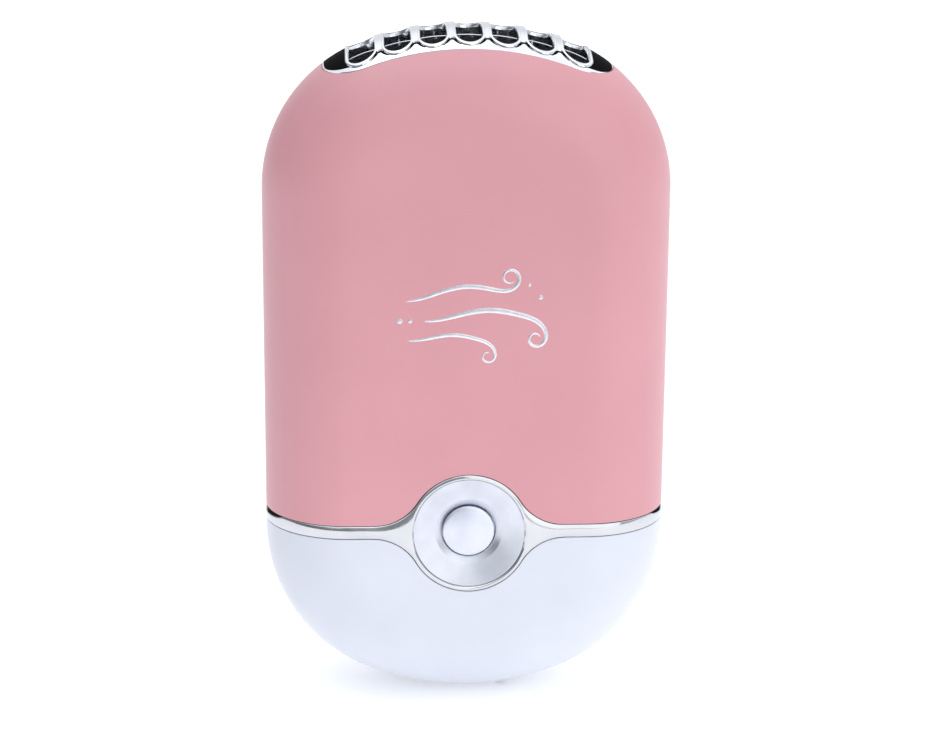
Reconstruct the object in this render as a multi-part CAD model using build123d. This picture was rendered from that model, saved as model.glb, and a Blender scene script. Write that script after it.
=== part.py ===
from build123d import *
import math
import os

# Hand-held eyelash extension fan, in millimetres.
# X is right as seen from the front, -Y is the front, +Z is up towards the air outlet.
# The origin is the centre of the case.

# How far a cut reaches past what it cuts, and how far joined shapes reach into each other
OVERRUN = 1.0
MERGE = 0.2

# Case: a slab with a crowned outline and fully rounded edges
CASE_W = 80.0
TOP_CROWN_R = 60.0
TOP_SHOULDER_R = 30.0
BOTTOM_CROWN_R = 51.0
BOTTOM_SHOULDER_R = 33.0
SIDE_FLAT = 2.0
WALL = 2.0
LIP_T = 0.9
LIP_H = 1.2
LIP_GAP = 0.1
SHELL_GAP = 0.05
INNER_GAP = 0.3

# Trim band across the case, with the round eye that holds the power button
BAND_H = 2.5
BAND_PROUD = 0.25
BAND_GAP = 0.06
EYE_DROP = 0.35
EYE_R = 11.9
EYE_RIM = 0.9
EYE_FLARE_R = 10.0
EYE_DEPTH = 4.0
EYE_CLEAR = 0.4
TONGUE_T = 1.2
TONGUE_H = 2.6

# Dish and button in the eye
DISH_GAP = 0.05
DISH_RIM_DROP = 0.2
DISH_SINK = 1.1
DISH_T = 1.3
DISH_WALL = 1.0
BEVEL_R = 6.65
BEVEL_SINK = 0.8
BUTTON_R = 5.1
BUTTON_GAP = 0.2
BUTTON_DOME = 0.35
BUTTON_DROP = 1.15
BUTTON_FLANGE = 0.9
BUTTON_FLANGE_T = 0.8
BUTTON_FLANGE_GAP = 0.15
BUTTON_STEM_R = 1.8
BUTTON_TRAVEL = 0.5
PRESS_GAP = 0.05

# Air outlet at the top: a removable plated grille, with seven slots in a raised scalloped plate
OUTLET_L = 56.0
OUTLET_W = 22.4
OUTLET_CORNER = 8.5
OUTLET_GAP = 0.2
OUTLET_RIM = 1.1
OUTLET_RISE = 12.25
GRILLE_T = 2.3
SLOT_COUNT = 7
SLOT_W = 5.2
SLOT_L = 17.0
SLOT_PITCH = 6.85
SLOT_FORWARD = 1.5
LIP_EDGE = 0.45
PLATE_PROUD = 0.25
VALLEY_Y = 6.9
VALLEY_R = 0.45
SKIRT_STEP = 1.0
SKIRT_T = 1.2
SKIRT_H = 13.0
COLLAR_H = 3.8
COLLAR_T = 2.0
SEAT_GAP = 0.1

# Moistening sponge carried in the skirt of the outlet grille
SPONGE_T = 9.0
SPONGE_H = 8.0
SPONGE_GAP = 0.3
SPONGE_ROUND = 1.5
SPONGE_BAR_W = 2.0
SPONGE_BAR_H = 1.2
SPONGE_BAR_X = 14.0
SPONGE_PEG_T = 1.0
SPONGE_PEG_H = 6.0

# Blower: scroll housing, cover and impeller on one axis along Y
BLOWER_CLEAR = 0.9
CHAMBER_HALF = 10.8
VOLUTE_WALL = 1.4
PLATE_T = 1.5
IMPELLER_R = 19.8
IMPELLER_GAP = 2.0
SCROLL_GROWTH = 9.2
TONGUE_ANGLE = 50.0
SCROLL_TURN = 230.0
SCROLL_ARC_COUNT = 4
DUCT_H = 32.0
MOUTH_STRAIGHT = 1.0
VOLUTE_TOP_GAP = 0.5
TONGUE_NOSE_R = 1.0
INLET_R = 15.0
INLET_RING_T = 1.0
INLET_RING_H = 2.2
BLADE_COUNT = 28
BLADE_IN_R = 15.4
BLADE_T = 0.7
BLADE_BEND_R = 5.0
BASE_GAP = 1.0
BASE_T = 1.2
TOP_GAP = 1.4
TOP_RING_T = 0.9
TOP_RING_W = 1.2

# Brushless motor inside the impeller's hub
HUB_R = 12.2
HUB_WALL = 1.1
HUB_TOP_Y = 2.4
YOKE_T = 0.6
MAGNET_T = 1.6
MAGNET_H = 7.0
AIR_GAP = 0.35
STATOR_H = 3.2
STATOR_TUBE_R = 3.0
STATOR_HUB_R = 4.2
POLE_COUNT = 4
POLE_W = 2.4
SHOE_T = 1.0
SHOE_SPAN = 62.0
COIL_T = 1.1
COIL_GAP = 0.1
COIL_ROUND = 0.77
MOTOR_BOARD_R = 10.0
MOTOR_BOARD_T = 0.8
MOTOR_BOARD_GAP = 0.8
SHAFT_R = 1.0
SHAFT_FIT = 0.03
SHAFT_SHORT = 0.6
BEARING_WALL = 0.9
BEARING_PROUD = 0.6
HUB_BOSS_R = 2.6
HUB_BOSS_H = 2.0

# Intake grille in the back
INTAKE_R = 22.0
INTAKE_GAP = 0.1
INTAKE_T = 1.6
INTAKE_LEDGE = 1.5
INTAKE_LEDGE_T = 1.5
INTAKE_SLOT_W = 1.9
INTAKE_RINGS = ((6.6, 12.2, 14), (13.6, 19.6, 28))
INTAKE_CLIP_W = 4.0
INTAKE_CLIP_T = 1.0
INTAKE_CLIP_H = 2.4
INTAKE_CLIP_ANGLES = (30.0, 150.0, 270.0)

# Circuit board, switch, USB socket and charge light; the socket stands on the board's back
BOARD_W = 20.0
BOARD_T = 1.6
BOARD_TOP_UP = 9.5
BOARD_BOTTOM_UP = 7.25
SWITCH_W = 6.0
SWITCH_H = 3.5
PLUNGER_R = 1.75
PLUNGER_OUT = 1.5
PLUNGER_GAP = 0.1
PLUNGER_IN = 0.5
USB_W = 7.7
USB_H = 3.9
USB_L = 9.0
USB_CORNER = 0.8
USB_WALL = 0.4
USB_DEPTH = 6.5
USB_RECESS = 1.2
USB_TONGUE_W = 4.0
USB_TONGUE_T = 1.0
USB_TONGUE_SINK = 0.8
USB_GAP = 0.2
LED_X = 7.6
LED_R = 1.0
LED_GAP = 0.05
LED_SINK = 0.1
LED_CHIP_W = 1.6
LED_CHIP_H = 0.9
BOARD_SCREW_UP = 6.0
BOARD_SCREW_X = 7.0
DISH_POST_X = 8.6
POST_R = 1.7
CHIPS = ((-4.6, -10.8, 5.0, 4.0, 1.5), (4.4, -10.3, 4.2, 4.2, 2.2), (0.0, -18.3, 6.0, 3.4, 1.2))

# Battery, lying across the case
CELL_R = 7.0
CELL_L = 50.0
CELL_DROP = 8.15
CELL_NUB_R = 2.6
CELL_NUB_H = 1.0
CELL_ROUND = 0.8
PAD_W = 16.0
PAD_H = 9.0
PAD_T = 2.0
CRADLE_X = 16.0
CRADLE_T = 1.4
CRADLE_GAP = 0.15
CRADLE_OVERLAP = 5.0
CRADLE_SPARE = 2.0

# Fasteners
UPPER_SCREW_X = 17.0
UPPER_SCREW_UP = 6.2
LOWER_SCREW_X = 14.0
LOWER_SCREW_UP = 16.25
CASE_SCREW_R = 1.1
CASE_HEAD_R = 2.1
CASE_HEAD_H = 1.5
CASE_SCREW_L = 13.0
CASE_SEAT_Y = 9.0
FRONT_BOSS_R = 2.7
BACK_BOSS_R = 3.5
SCREW_GAP = 0.15
PILOT_GAP = 0.02
SMALL_SCREW_R = 0.9
SMALL_HEAD_R = 1.8
SMALL_HEAD_H = 1.1
SMALL_SCREW_L = 5.0
VOLUTE_SCREW_L = 4.4
PILOT_SPARE = 0.3
LUG_PLACES = ((27.5, -17.0), (26.0, 15.0), (-26.0, -26.0))
LUG_R = 3.0
COVER_ANGLES = (-60.0, -115.0)
COVER_POST_R = 2.2
COVER_POST_OUT = 1.2
NOSE_POST_OUT = 4.2
HOOK_UP = 25.0
HOOK_W = 5.0
HOOK_T = 1.0
HOOK_REACH = 4.0

# Wires held inside the case
WIRE_R = 0.6
WIRE_PITCH = 1.6
WIRE_BEND = 2.4
WIRE_SLACK = 0.1
MOTOR_WIRE_X = 4.6
MOTOR_WIRE_IN = 7.5
CELL_WIRE_OUT = 3.0
CELL_WIRE_DROP = 8.2
CELL_WIRE_X = 4.0
CELL_WIRE_CLEAR = 0.7
TAB_T = 0.3

# Depth: the blower with its leads in front, and the eye in front of those
PLATE_FRONT_Y = -CHAMBER_HALF - PLATE_T
COVER_BACK_Y = CHAMBER_HALF + PLATE_T
EYE_BACK_Y = PLATE_FRONT_Y - WIRE_SLACK - 2 * WIRE_R - EYE_CLEAR
HALF_T = EYE_DEPTH - EYE_BACK_Y
CASE_T = 2 * HALF_T
EDGE_R = HALF_T - SIDE_FLAT / 2

# Heights: from the lower screws up past the cell to the band, the blower and the outlet
CELL_UP = LOWER_SCREW_UP + BACK_BOSS_R + CELL_WIRE_CLEAR + WIRE_R + CELL_WIRE_DROP
BAND_UP = CELL_UP + CELL_DROP
SCROLL_START_R = IMPELLER_R + IMPELLER_GAP
SCROLL_BELOW = SCROLL_START_R + SCROLL_GROWTH * (TONGUE_ANGLE + 90) / SCROLL_TURN + VOLUTE_WALL
BLOWER_UP = BAND_UP - EYE_DROP + BOARD_TOP_UP + BLOWER_CLEAR + SCROLL_BELOW
CASE_H = BLOWER_UP + DUCT_H + MOUTH_STRAIGHT + SKIRT_H + OUTLET_RISE
HALF_H = CASE_H / 2
BAND_Z = BAND_UP - HALF_H
EYE_Z = BAND_Z - EYE_DROP
BLOWER_Z = BLOWER_UP - HALF_H
MOUTH_Z = BLOWER_Z + DUCT_H
SKIRT_BOTTOM_Z = MOUTH_Z + MOUTH_STRAIGHT
OUTLET_SEAT_Z = SKIRT_BOTTOM_Z + SKIRT_H
VOLUTE_TOP_Z = OUTLET_SEAT_Z - SEAT_GAP - COLLAR_H - VOLUTE_TOP_GAP
BOARD_TOP_Z = EYE_Z + BOARD_TOP_UP
BOARD_BOTTOM_Z = BOARD_BOTTOM_UP - HALF_H
BOARD_SCREW_Z = BOARD_BOTTOM_Z + BOARD_SCREW_UP
CELL_Z = CELL_UP - HALF_H
HOOK_Z = BLOWER_Z + HOOK_UP
CASE_SCREWS_UPPER = [(side * UPPER_SCREW_X, EYE_Z + UPPER_SCREW_UP) for side in (-1, 1)]
CASE_SCREWS_LOWER = [(side * LOWER_SCREW_X, LOWER_SCREW_UP - HALF_H) for side in (-1, 1)]
VOLUTE_LUGS = [(x, BLOWER_Z + up) for x, up in LUG_PLACES]

# Widths and depths worked out from the sizes above
HALF_W = CASE_W / 2
FAR = 4 * CASE_H
BOARD_BACK_Y = -USB_H / 2
BOARD_FRONT_Y = BOARD_BACK_Y - BOARD_T
SWITCH_FACE_Y = BOARD_FRONT_Y - SWITCH_H
PLUNGER_TIP_Y = SWITCH_FACE_Y - PLUNGER_OUT
DISH_R = EYE_R - EYE_RIM - DISH_GAP
DISH_RIM_Y = -HALF_T + DISH_RIM_DROP
DISH_INNER_Y = DISH_RIM_Y + DISH_SINK
DISH_HOLE_Y = DISH_INNER_Y + BEVEL_SINK
DISH_BACK_Y = DISH_HOLE_Y + DISH_T
SKIRT_L = OUTLET_L - 2 * SKIRT_STEP
SKIRT_W = OUTLET_W - 2 * SKIRT_STEP
MOUTH_HALF = SKIRT_L / 2 + 2 * OUTLET_GAP
CELL_Y = BOARD_BACK_Y + PAD_T + CELL_R


def moved(shape, x=0.0, y=0.0, z=0.0):
    return Pos(x, y, z) * shape


def along_y(radius, start, end, x=0.0, z=0.0):
    """A cylinder along Y from start to end."""
    rod = Rot(90, 0, 0) * Cylinder(radius, end - start)
    return moved(rod, x, (start + end) / 2, z)


def block(x_span, y_span, z_span):
    """A box between the given limits along each axis."""
    spans = (x_span, y_span, z_span)
    box = Box(*[high - low for low, high in spans])
    return moved(box, *[(low + high) / 2 for low, high in spans])


def ring_y(outer, inner, start, end, x=0.0, z=0.0):
    return along_y(outer, start, end, x, z) - along_y(inner, start - OVERRUN, end + OVERRUN, x, z)


def arch_points(half_width, top, crown_r, shoulder_r):
    """Start, middle and end of a shoulder arc that meets a straight side and a crown."""
    crown_z = top - crown_r
    shoulder_x = half_width - shoulder_r
    shoulder_z = crown_z + math.sqrt((crown_r - shoulder_r) ** 2 - shoulder_x ** 2)
    turn = math.atan2(shoulder_z - crown_z, shoulder_x)
    return [
        (shoulder_x + shoulder_r * math.cos(angle), shoulder_z + shoulder_r * math.sin(angle))
        for angle in (0.0, turn / 2, turn)
    ]


def case_outline(inset):
    """The front view of the case, moved inwards by inset."""
    half, top = HALF_W - inset, HALF_H - inset
    upper = arch_points(half, top, TOP_CROWN_R - inset, TOP_SHOULDER_R - inset)
    lower = arch_points(half, top, BOTTOM_CROWN_R - inset, BOTTOM_SHOULDER_R - inset)
    lower = [(x, -z) for x, z in lower]
    left_upper = [(-x, z) for x, z in upper]
    left_lower = [(-x, z) for x, z in lower]
    with BuildSketch(Plane.XZ) as sketch:
        with BuildLine():
            ThreePointArc(*upper)
            ThreePointArc(upper[2], (0, top), left_upper[2])
            ThreePointArc(*reversed(left_upper))
            Line(left_upper[0], left_lower[0])
            ThreePointArc(*left_lower)
            ThreePointArc(left_lower[2], (0, -top), lower[2])
            ThreePointArc(*reversed(lower))
            Line(lower[0], upper[0])
        make_face()
    return sketch.sketch


def case_body(inset=0.0):
    """The whole case as one solid with rounded edges, moved inwards by inset."""
    depth = HALF_T - inset
    slab = extrude(case_outline(inset), amount=depth, both=True)
    rims = slab.edges().filter_by(lambda edge: abs(abs(edge.center().Y) - depth) < 1e-6)
    return fillet(rims, EDGE_R - inset)


def front_half():
    return block((-FAR, FAR), (-FAR, 0), (-FAR, FAR))


def back_half():
    return block((-FAR, FAR), (0, FAR), (-FAR, FAR))


def band_front(grow=0.0):
    """The band with its eye, as a prism through the front of the case."""
    low, high = BAND_Z - BAND_H / 2 - grow, BAND_Z + BAND_H / 2 + grow
    with BuildSketch(Plane.XZ) as sketch:
        with Locations((0, (low + high) / 2)):
            Rectangle(3 * CASE_W, high - low)
        with Locations((0, EYE_Z)):
            Circle(EYE_R + grow)
        corners = [v for v in sketch.vertices() if abs(v.X) < CASE_W and abs(v.X) > 1]
        fillet(corners, EYE_FLARE_R - grow)
    return extrude(sketch.sketch, amount=CASE_T)


def band_back(grow=0.0):
    low, high = BAND_Z - BAND_H / 2 - grow, BAND_Z + BAND_H / 2 + grow
    return block((-CASE_W, CASE_W), (0, CASE_T), (low, high))


def above_band():
    return block((-FAR, FAR), (-FAR, FAR), (BAND_Z, FAR))


def below_band():
    return block((-FAR, FAR), (-FAR, FAR), (-FAR, BAND_Z))


def outlet_prism(grow, bottom, top=CASE_H):
    """The outlet's outline, grown by grow, from bottom to top."""
    profile = RectangleRounded(OUTLET_L + 2 * grow, OUTLET_W + 2 * grow, OUTLET_CORNER + grow)
    return moved(extrude(profile, amount=top - bottom), z=bottom)


def outlet_collar():
    """The seat inside the shells that the outlet grille drops onto."""
    top = OUTLET_SEAT_Z - SEAT_GAP
    hole = OUTLET_GAP - SKIRT_STEP
    ring = outlet_prism(OUTLET_GAP + COLLAR_T, top - COLLAR_H, top)
    ring -= outlet_prism(hole, top - COLLAR_H - OVERRUN, top + OVERRUN)
    return ring & case_body(WALL / 2)


def lip_ring(gap, height):
    """The tongue along the parting line, or with a gap its groove."""
    outer = case_outline(WALL - LIP_T - gap)
    inner = case_outline(WALL)
    return extrude(outer - inner, amount=-height)


def small_pilot(mouth, x, z):
    """A small screw's pilot hole, opening at mouth."""
    return along_y(SMALL_SCREW_R + PILOT_GAP, mouth - SMALL_SCREW_L, mouth + OVERRUN, x, z)


def front_boss(x, z):
    boss = along_y(FRONT_BOSS_R, -HALF_T, 0, x, z) & case_body(WALL / 2)
    depth = CASE_SCREW_L - CASE_SEAT_Y + PILOT_SPARE
    return boss - along_y(CASE_SCREW_R + PILOT_GAP, -depth, OVERRUN, x, z)


def back_boss(x, z):
    return along_y(BACK_BOSS_R, SHELL_GAP, HALF_T, x, z) & case_body(WALL / 2)


def back_boss_holes(x, z):
    holes = along_y(CASE_SCREW_R + SCREW_GAP, -OVERRUN, CASE_T, x, z)
    return holes + along_y(CASE_HEAD_R + SCREW_GAP, CASE_SEAT_Y, CASE_T, x, z)


def make_front_shell():
    shell = (case_body() - case_body(WALL)) & front_half() & above_band()
    shell -= band_front(BAND_GAP)
    lip = lip_ring(0, LIP_H) & block((-FAR, FAR), (0, FAR), (BAND_Z + BAND_H / 2 + BAND_GAP, FAR))
    shell += lip - outlet_prism(OUTLET_GAP + COLLAR_T + LIP_GAP, OUTLET_SEAT_Z - COLLAR_H - LIP_H)
    shell -= outlet_prism(OUTLET_GAP, OUTLET_SEAT_Z)
    shell += outlet_collar() & front_half()
    for x, z in VOLUTE_LUGS:
        post = along_y(LUG_R, -HALF_T + WALL / 2, PLATE_FRONT_Y, x, z)
        shell += post & case_body(WALL / 2)
        tip = -CHAMBER_HALF - VOLUTE_SCREW_L - PILOT_SPARE
        shell -= along_y(SMALL_SCREW_R + PILOT_GAP, tip, PLATE_FRONT_Y + OVERRUN, x, z)
    for x, z in CASE_SCREWS_UPPER:
        shell += front_boss(x, z)
    return shell


def hook(side):
    """A springy tab on the back that reaches behind the wall of the front."""
    z_span = (HOOK_Z - HOOK_W / 2, HOOK_Z + HOOK_W / 2)
    x_span = sorted((0, side * CASE_W))
    inside = case_body(WALL + LIP_GAP + HOOK_T)
    tab = (case_body(WALL + LIP_GAP) - inside) & block(x_span, (-HOOK_REACH, HOOK_REACH), z_span)
    foot = (case_body(WALL / 2) - inside) & block(x_span, (LIP_H + 2 * LIP_GAP, HOOK_REACH), z_span)
    return tab + foot


def make_back_shell():
    shell = (case_body() - case_body(WALL)) & back_half() & above_band()
    shell -= band_back(BAND_GAP)
    shell -= block((-FAR, FAR), (0, SHELL_GAP), (-FAR, FAR))
    shell -= lip_ring(LIP_GAP, LIP_H + LIP_GAP)
    shell -= outlet_prism(OUTLET_GAP, OUTLET_SEAT_Z)
    collar = outlet_collar() & back_half()
    shell += collar - block((-FAR, FAR), (0, SHELL_GAP), (-FAR, FAR))
    shell -= along_y(INTAKE_R + INTAKE_GAP, 0, CASE_T, z=BLOWER_Z)
    shell += intake_ledge()
    shell += hook(-1) + hook(1)
    for x, z in CASE_SCREWS_UPPER:
        shell += back_boss(x, z)
        shell -= back_boss_holes(x, z)
    return shell


def intake_ledge():
    outer = INTAKE_R + INTAKE_GAP + INTAKE_LEDGE
    inner = INTAKE_R - INTAKE_LEDGE
    front = HALF_T - INTAKE_T - INTAKE_LEDGE_T
    ring = ring_y(outer, inner, front, HALF_T - WALL + MERGE, z=BLOWER_Z)
    return ring - along_y(INTAKE_R + INTAKE_GAP, HALF_T - INTAKE_T, CASE_T, z=BLOWER_Z)


def cap_tongue(band):
    """The rib that stands up from the lower case behind the band and the upper case."""
    low = BAND_Z - BAND_H / 2 - TONGUE_H
    high = BAND_Z + BAND_H / 2 + TONGUE_H
    inner = case_body(WALL + LIP_GAP + TONGUE_T)
    rib = (case_body(WALL + LIP_GAP) - inner) & block((-FAR, FAR), (-FAR, FAR), (low, high))
    rib -= along_y(EYE_R + LIP_GAP, -CASE_T, 0, z=EYE_Z)
    for x, z in CASE_SCREWS_UPPER:
        rib -= along_y(BACK_BOSS_R + INNER_GAP, -CASE_T, CASE_T, x, z)
    foot = (case_body(WALL / 2) - inner) & block((-FAR, FAR), (-FAR, FAR), (low, BAND_Z))
    return rib + (foot - band)


def usb_hole(grow):
    """The socket's outline, grown by grow, through the bottom of the case."""
    profile = RectangleRounded(USB_W + 2 * grow, USB_H + 2 * grow, USB_CORNER + grow)
    return moved(extrude(profile, amount=USB_L + USB_RECESS), z=-HALF_H - USB_RECESS)


def make_cap(half, band):
    cap = (case_body() - case_body(WALL)) & half & below_band()
    cap -= band
    return cap + (cap_tongue(band) & half)


def make_front_cap():
    cap = make_cap(front_half(), band_front(BAND_GAP))
    low = block((-FAR, FAR), (0, FAR), (-FAR, BAND_Z - BAND_H / 2 - BAND_GAP))
    cap += (lip_ring(0, LIP_H) & low) - usb_hole(USB_GAP + LIP_T)
    for x, z in CASE_SCREWS_LOWER:
        cap += front_boss(x, z)
    for side in (-1, 1):
        x = side * BOARD_SCREW_X
        cap += along_y(POST_R, -HALF_T + WALL / 2, BOARD_FRONT_Y, x, BOARD_SCREW_Z) & case_body(WALL / 2)
        cap -= small_pilot(BOARD_FRONT_Y, x, BOARD_SCREW_Z)
    cap -= usb_hole(USB_GAP)
    cap -= Pos(LED_X, led_y(), -HALF_H) * Cylinder(LED_R + LED_GAP, CASE_W / 2)
    return cap


def make_back_cap():
    cap = make_cap(back_half(), band_back(BAND_GAP))
    cap -= block((-FAR, FAR), (0, SHELL_GAP), (-FAR, FAR))
    cap -= lip_ring(LIP_GAP, LIP_H + LIP_GAP) & below_band()
    for side in (-1, 1):
        cap += cradle_rib(side * CRADLE_X)
    for x, z in CASE_SCREWS_LOWER:
        cap += back_boss(x, z)
        cap -= back_boss_holes(x, z)
    cap -= usb_hole(USB_GAP)
    return cap


def cradle_rib(x):
    """A rib with a round seat for the cell, on the inside of the back."""
    low = CELL_Z - CELL_R - CRADLE_SPARE
    high = BAND_Z - BAND_H / 2 - TONGUE_H
    y_span = (CELL_Y + CELL_R - CRADLE_OVERLAP, HALF_T - WALL / 2)
    rib = block((x - CRADLE_T / 2, x + CRADLE_T / 2), y_span, (low, high))
    seat = moved(Rot(0, 90, 0) * Cylinder(CELL_R + CRADLE_GAP, CELL_L), 0, CELL_Y, CELL_Z)
    return (rib & case_body(WALL / 2)) - seat


def make_trim_band():
    proud = case_body(-BAND_PROUD) & block((-FAR, FAR), (-FAR, HALF_T), (-FAR, FAR))
    hollow = case_body(WALL)
    front = (proud - hollow) & band_front() & front_half()
    back = (proud - hollow) & band_back()
    ring = ring_y(EYE_R, EYE_R - EYE_RIM, -HALF_T + WALL / 2, EYE_BACK_Y, z=EYE_Z)
    band = front + back + ring
    return band - along_y(EYE_R - EYE_RIM, -CASE_T, EYE_BACK_Y + OVERRUN, z=EYE_Z)


def make_button_dish():
    """A shallow satin dish with a bevelled hole, on two posts for the circuit board."""
    hole = BUTTON_R + BUTTON_GAP
    profile = [
        (hole, DISH_BACK_Y), (hole, DISH_HOLE_Y), (BEVEL_R, DISH_INNER_Y), (DISH_R, DISH_RIM_Y),
        (DISH_R, EYE_BACK_Y), (DISH_R - DISH_WALL, EYE_BACK_Y), (DISH_R - DISH_WALL, DISH_BACK_Y),
    ]
    with BuildSketch(Plane.XY) as sketch:
        with BuildLine():
            Polyline(*profile, close=True)
        make_face()
    dish = moved(revolve(sketch.sketch, axis=Axis.Y), z=EYE_Z)
    for side in (-1, 1):
        x = side * DISH_POST_X
        dish += along_y(POST_R, DISH_BACK_Y - MERGE, BOARD_FRONT_Y, x, EYE_Z)
        dish -= small_pilot(BOARD_FRONT_Y, x, EYE_Z)
    return dish


def make_power_button():
    face = -HALF_T + BUTTON_DROP
    flange_front = DISH_BACK_Y + BUTTON_FLANGE_GAP
    cap = along_y(BUTTON_R, face + BUTTON_DOME, flange_front + BUTTON_FLANGE_T, z=EYE_Z)
    dome_r = (BUTTON_R ** 2 + BUTTON_DOME ** 2) / (2 * BUTTON_DOME)
    dome = moved(Sphere(dome_r), 0, face + dome_r, EYE_Z)
    cap += along_y(BUTTON_R, face - OVERRUN, face + BUTTON_DOME, z=EYE_Z) & dome
    cap += along_y(BUTTON_R + BUTTON_FLANGE, flange_front, flange_front + BUTTON_FLANGE_T, z=EYE_Z)
    return cap + along_y(BUTTON_STEM_R, flange_front, PLUNGER_TIP_Y - PRESS_GAP, z=EYE_Z)


def slot_places():
    first = -(SLOT_COUNT - 1) / 2 * SLOT_PITCH
    return [first + index * SLOT_PITCH for index in range(SLOT_COUNT)]


def slot_field(grow=0.0):
    """The outlines of all the slots, grown by grow, in plan."""
    slots = Sketch()
    for x in slot_places():
        slots += Pos(x, -SLOT_FORWARD) * SlotOverall(SLOT_L + 2 * grow, SLOT_W + 2 * grow, rotation=90)
    return slots


def scalloped_plate():
    """The raised plate in plan: bars and a rim round each slot, with soft valleys between the rims."""
    plate = slot_field(LIP_EDGE) + Pos(0, -SLOT_FORWARD) * Rectangle(2 * slot_places()[-1], 2 * VALLEY_Y)
    valleys = plate.vertices().filter_by(lambda v: abs(abs(v.Y + SLOT_FORWARD) - VALLEY_Y) < 1e-6)
    return fillet(valleys, VALLEY_R)


def crescents():
    """The open corners of the frame past the last slots, in plan."""
    inner_l, inner_w = OUTLET_L - 2 * OUTLET_RIM, OUTLET_W - 2 * OUTLET_RIM
    frame = RectangleRounded(inner_l, inner_w, OUTLET_CORNER - OUTLET_RIM)
    return frame - Rectangle(2 * slot_places()[-1], OUTLET_W) - slot_field(LIP_EDGE)


def sponge_rest(side):
    """A bar under the sponge with a peg on each side of it."""
    x_span = [side * SPONGE_BAR_X + end * SPONGE_BAR_W / 2 for end in (-1, 1)]
    y_half = SKIRT_W / 2 - SKIRT_T / 2
    bar_top = SKIRT_BOTTOM_Z + SPONGE_BAR_H
    rest = block(x_span, (-y_half, y_half), (SKIRT_BOTTOM_Z, bar_top))
    peg_in = SPONGE_T / 2 + SPONGE_GAP
    peg_z = (bar_top - MERGE, bar_top + SPONGE_PEG_H)
    rest += block(x_span, (peg_in, peg_in + SPONGE_PEG_T), peg_z)
    return rest + block(x_span, (-peg_in - SPONGE_PEG_T, -peg_in), peg_z)


def make_outlet_grille():
    """A curved plate on an upright wall, with a skirt below that drops into the case."""
    inner = -SKIRT_STEP - SKIRT_T
    grille = outlet_prism(0, OUTLET_SEAT_Z) & case_body()
    grille -= outlet_prism(inner, OUTLET_SEAT_Z - OVERRUN) & case_body(GRILLE_T)
    grille += extrude(scalloped_plate(), amount=CASE_H) & (case_body(-PLATE_PROUD) - case_body(GRILLE_T))
    grille -= extrude(slot_field() + crescents(), amount=CASE_H)
    skirt = outlet_prism(-SKIRT_STEP, SKIRT_BOTTOM_Z, OUTLET_SEAT_Z)
    skirt -= outlet_prism(inner, SKIRT_BOTTOM_Z - OVERRUN, OUTLET_SEAT_Z + OVERRUN)
    return grille + skirt + sponge_rest(-1) + sponge_rest(1)


def make_sponge():
    half = SKIRT_L / 2 - SKIRT_T - SPONGE_GAP
    low = SKIRT_BOTTOM_Z + SPONGE_BAR_H + SPONGE_GAP
    pad = block((-half, half), (-SPONGE_T / 2, SPONGE_T / 2), (low, low + SPONGE_H))
    return fillet(pad.edges().filter_by(Axis.X), SPONGE_ROUND)


def polar(radius, degrees, z=0.0):
    angle = math.radians(degrees)
    return (radius * math.cos(angle), z + radius * math.sin(angle))


def scroll_point(turn, out=0.0):
    """A point of the scroll's inside, turn degrees past the tongue; its radius grows evenly."""
    radius = SCROLL_START_R + SCROLL_GROWTH * turn / SCROLL_TURN
    return polar(radius + out, TONGUE_ANGLE - turn, BLOWER_Z)


def chamber_outline(grow=0.0, top=VOLUTE_TOP_Z):
    """The inside of the scroll and its duct, seen from the front."""
    step = SCROLL_TURN / SCROLL_ARC_COUNT
    tongue, left = scroll_point(0), scroll_point(SCROLL_TURN)
    with BuildSketch(Plane.XZ) as sketch:
        with BuildLine():
            for index in range(SCROLL_ARC_COUNT):
                turns = [(index + part) * step for part in (0, 0.5, 1)]
                ThreePointArc(*[scroll_point(turn) for turn in turns])
            mouth = [(-MOUTH_HALF, MOUTH_Z), (-MOUTH_HALF, top), (MOUTH_HALF, top), (MOUTH_HALF, MOUTH_Z)]
            Polyline(left, *mouth, tongue)
        make_face()
        tip = sketch.vertices().sort_by_distance((tongue[0], 0, tongue[1]))[0]
        fillet(tip, TONGUE_NOSE_R)
        if grow:
            offset(amount=grow)
    return sketch.sketch


def slab_y(profile, start, end):
    """A front-view profile extruded between two depths."""
    return moved(extrude(profile, amount=-(end - start)), y=start)


def cover_posts():
    """The places of the screws that hold the cover on the scroll."""
    out = VOLUTE_WALL + COVER_POST_OUT
    places = [scroll_point(TONGUE_ANGLE - angle, out) for angle in COVER_ANGLES]
    x, z = scroll_point(0)
    return places + [(x + NOSE_POST_OUT, z + COVER_POST_OUT)]


def make_volute_housing():
    inside, outside = chamber_outline(), chamber_outline(VOLUTE_WALL)
    wall = slab_y(outside, PLATE_FRONT_Y, CHAMBER_HALF)
    for x, z in VOLUTE_LUGS:
        wall += along_y(LUG_R, PLATE_FRONT_Y, -CHAMBER_HALF, x, z)
        wall += lug_bridge(x, z)
    for x, z in cover_posts():
        wall += along_y(COVER_POST_R, PLATE_FRONT_Y, CHAMBER_HALF, x, z)
    wall -= slab_y(inside, -CHAMBER_HALF, CASE_T)
    wall -= block((-CASE_W, CASE_W), (-CASE_T, CASE_T), (VOLUTE_TOP_Z, CASE_H))
    for x, z in VOLUTE_LUGS:
        wall -= along_y(SMALL_SCREW_R + SCREW_GAP, -CASE_T, 0, x, z)
    for x, z in cover_posts():
        wall -= small_pilot(CHAMBER_HALF, x, z)
    wall -= wire_notch()
    return wall & case_body(WALL + INNER_GAP)


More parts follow.
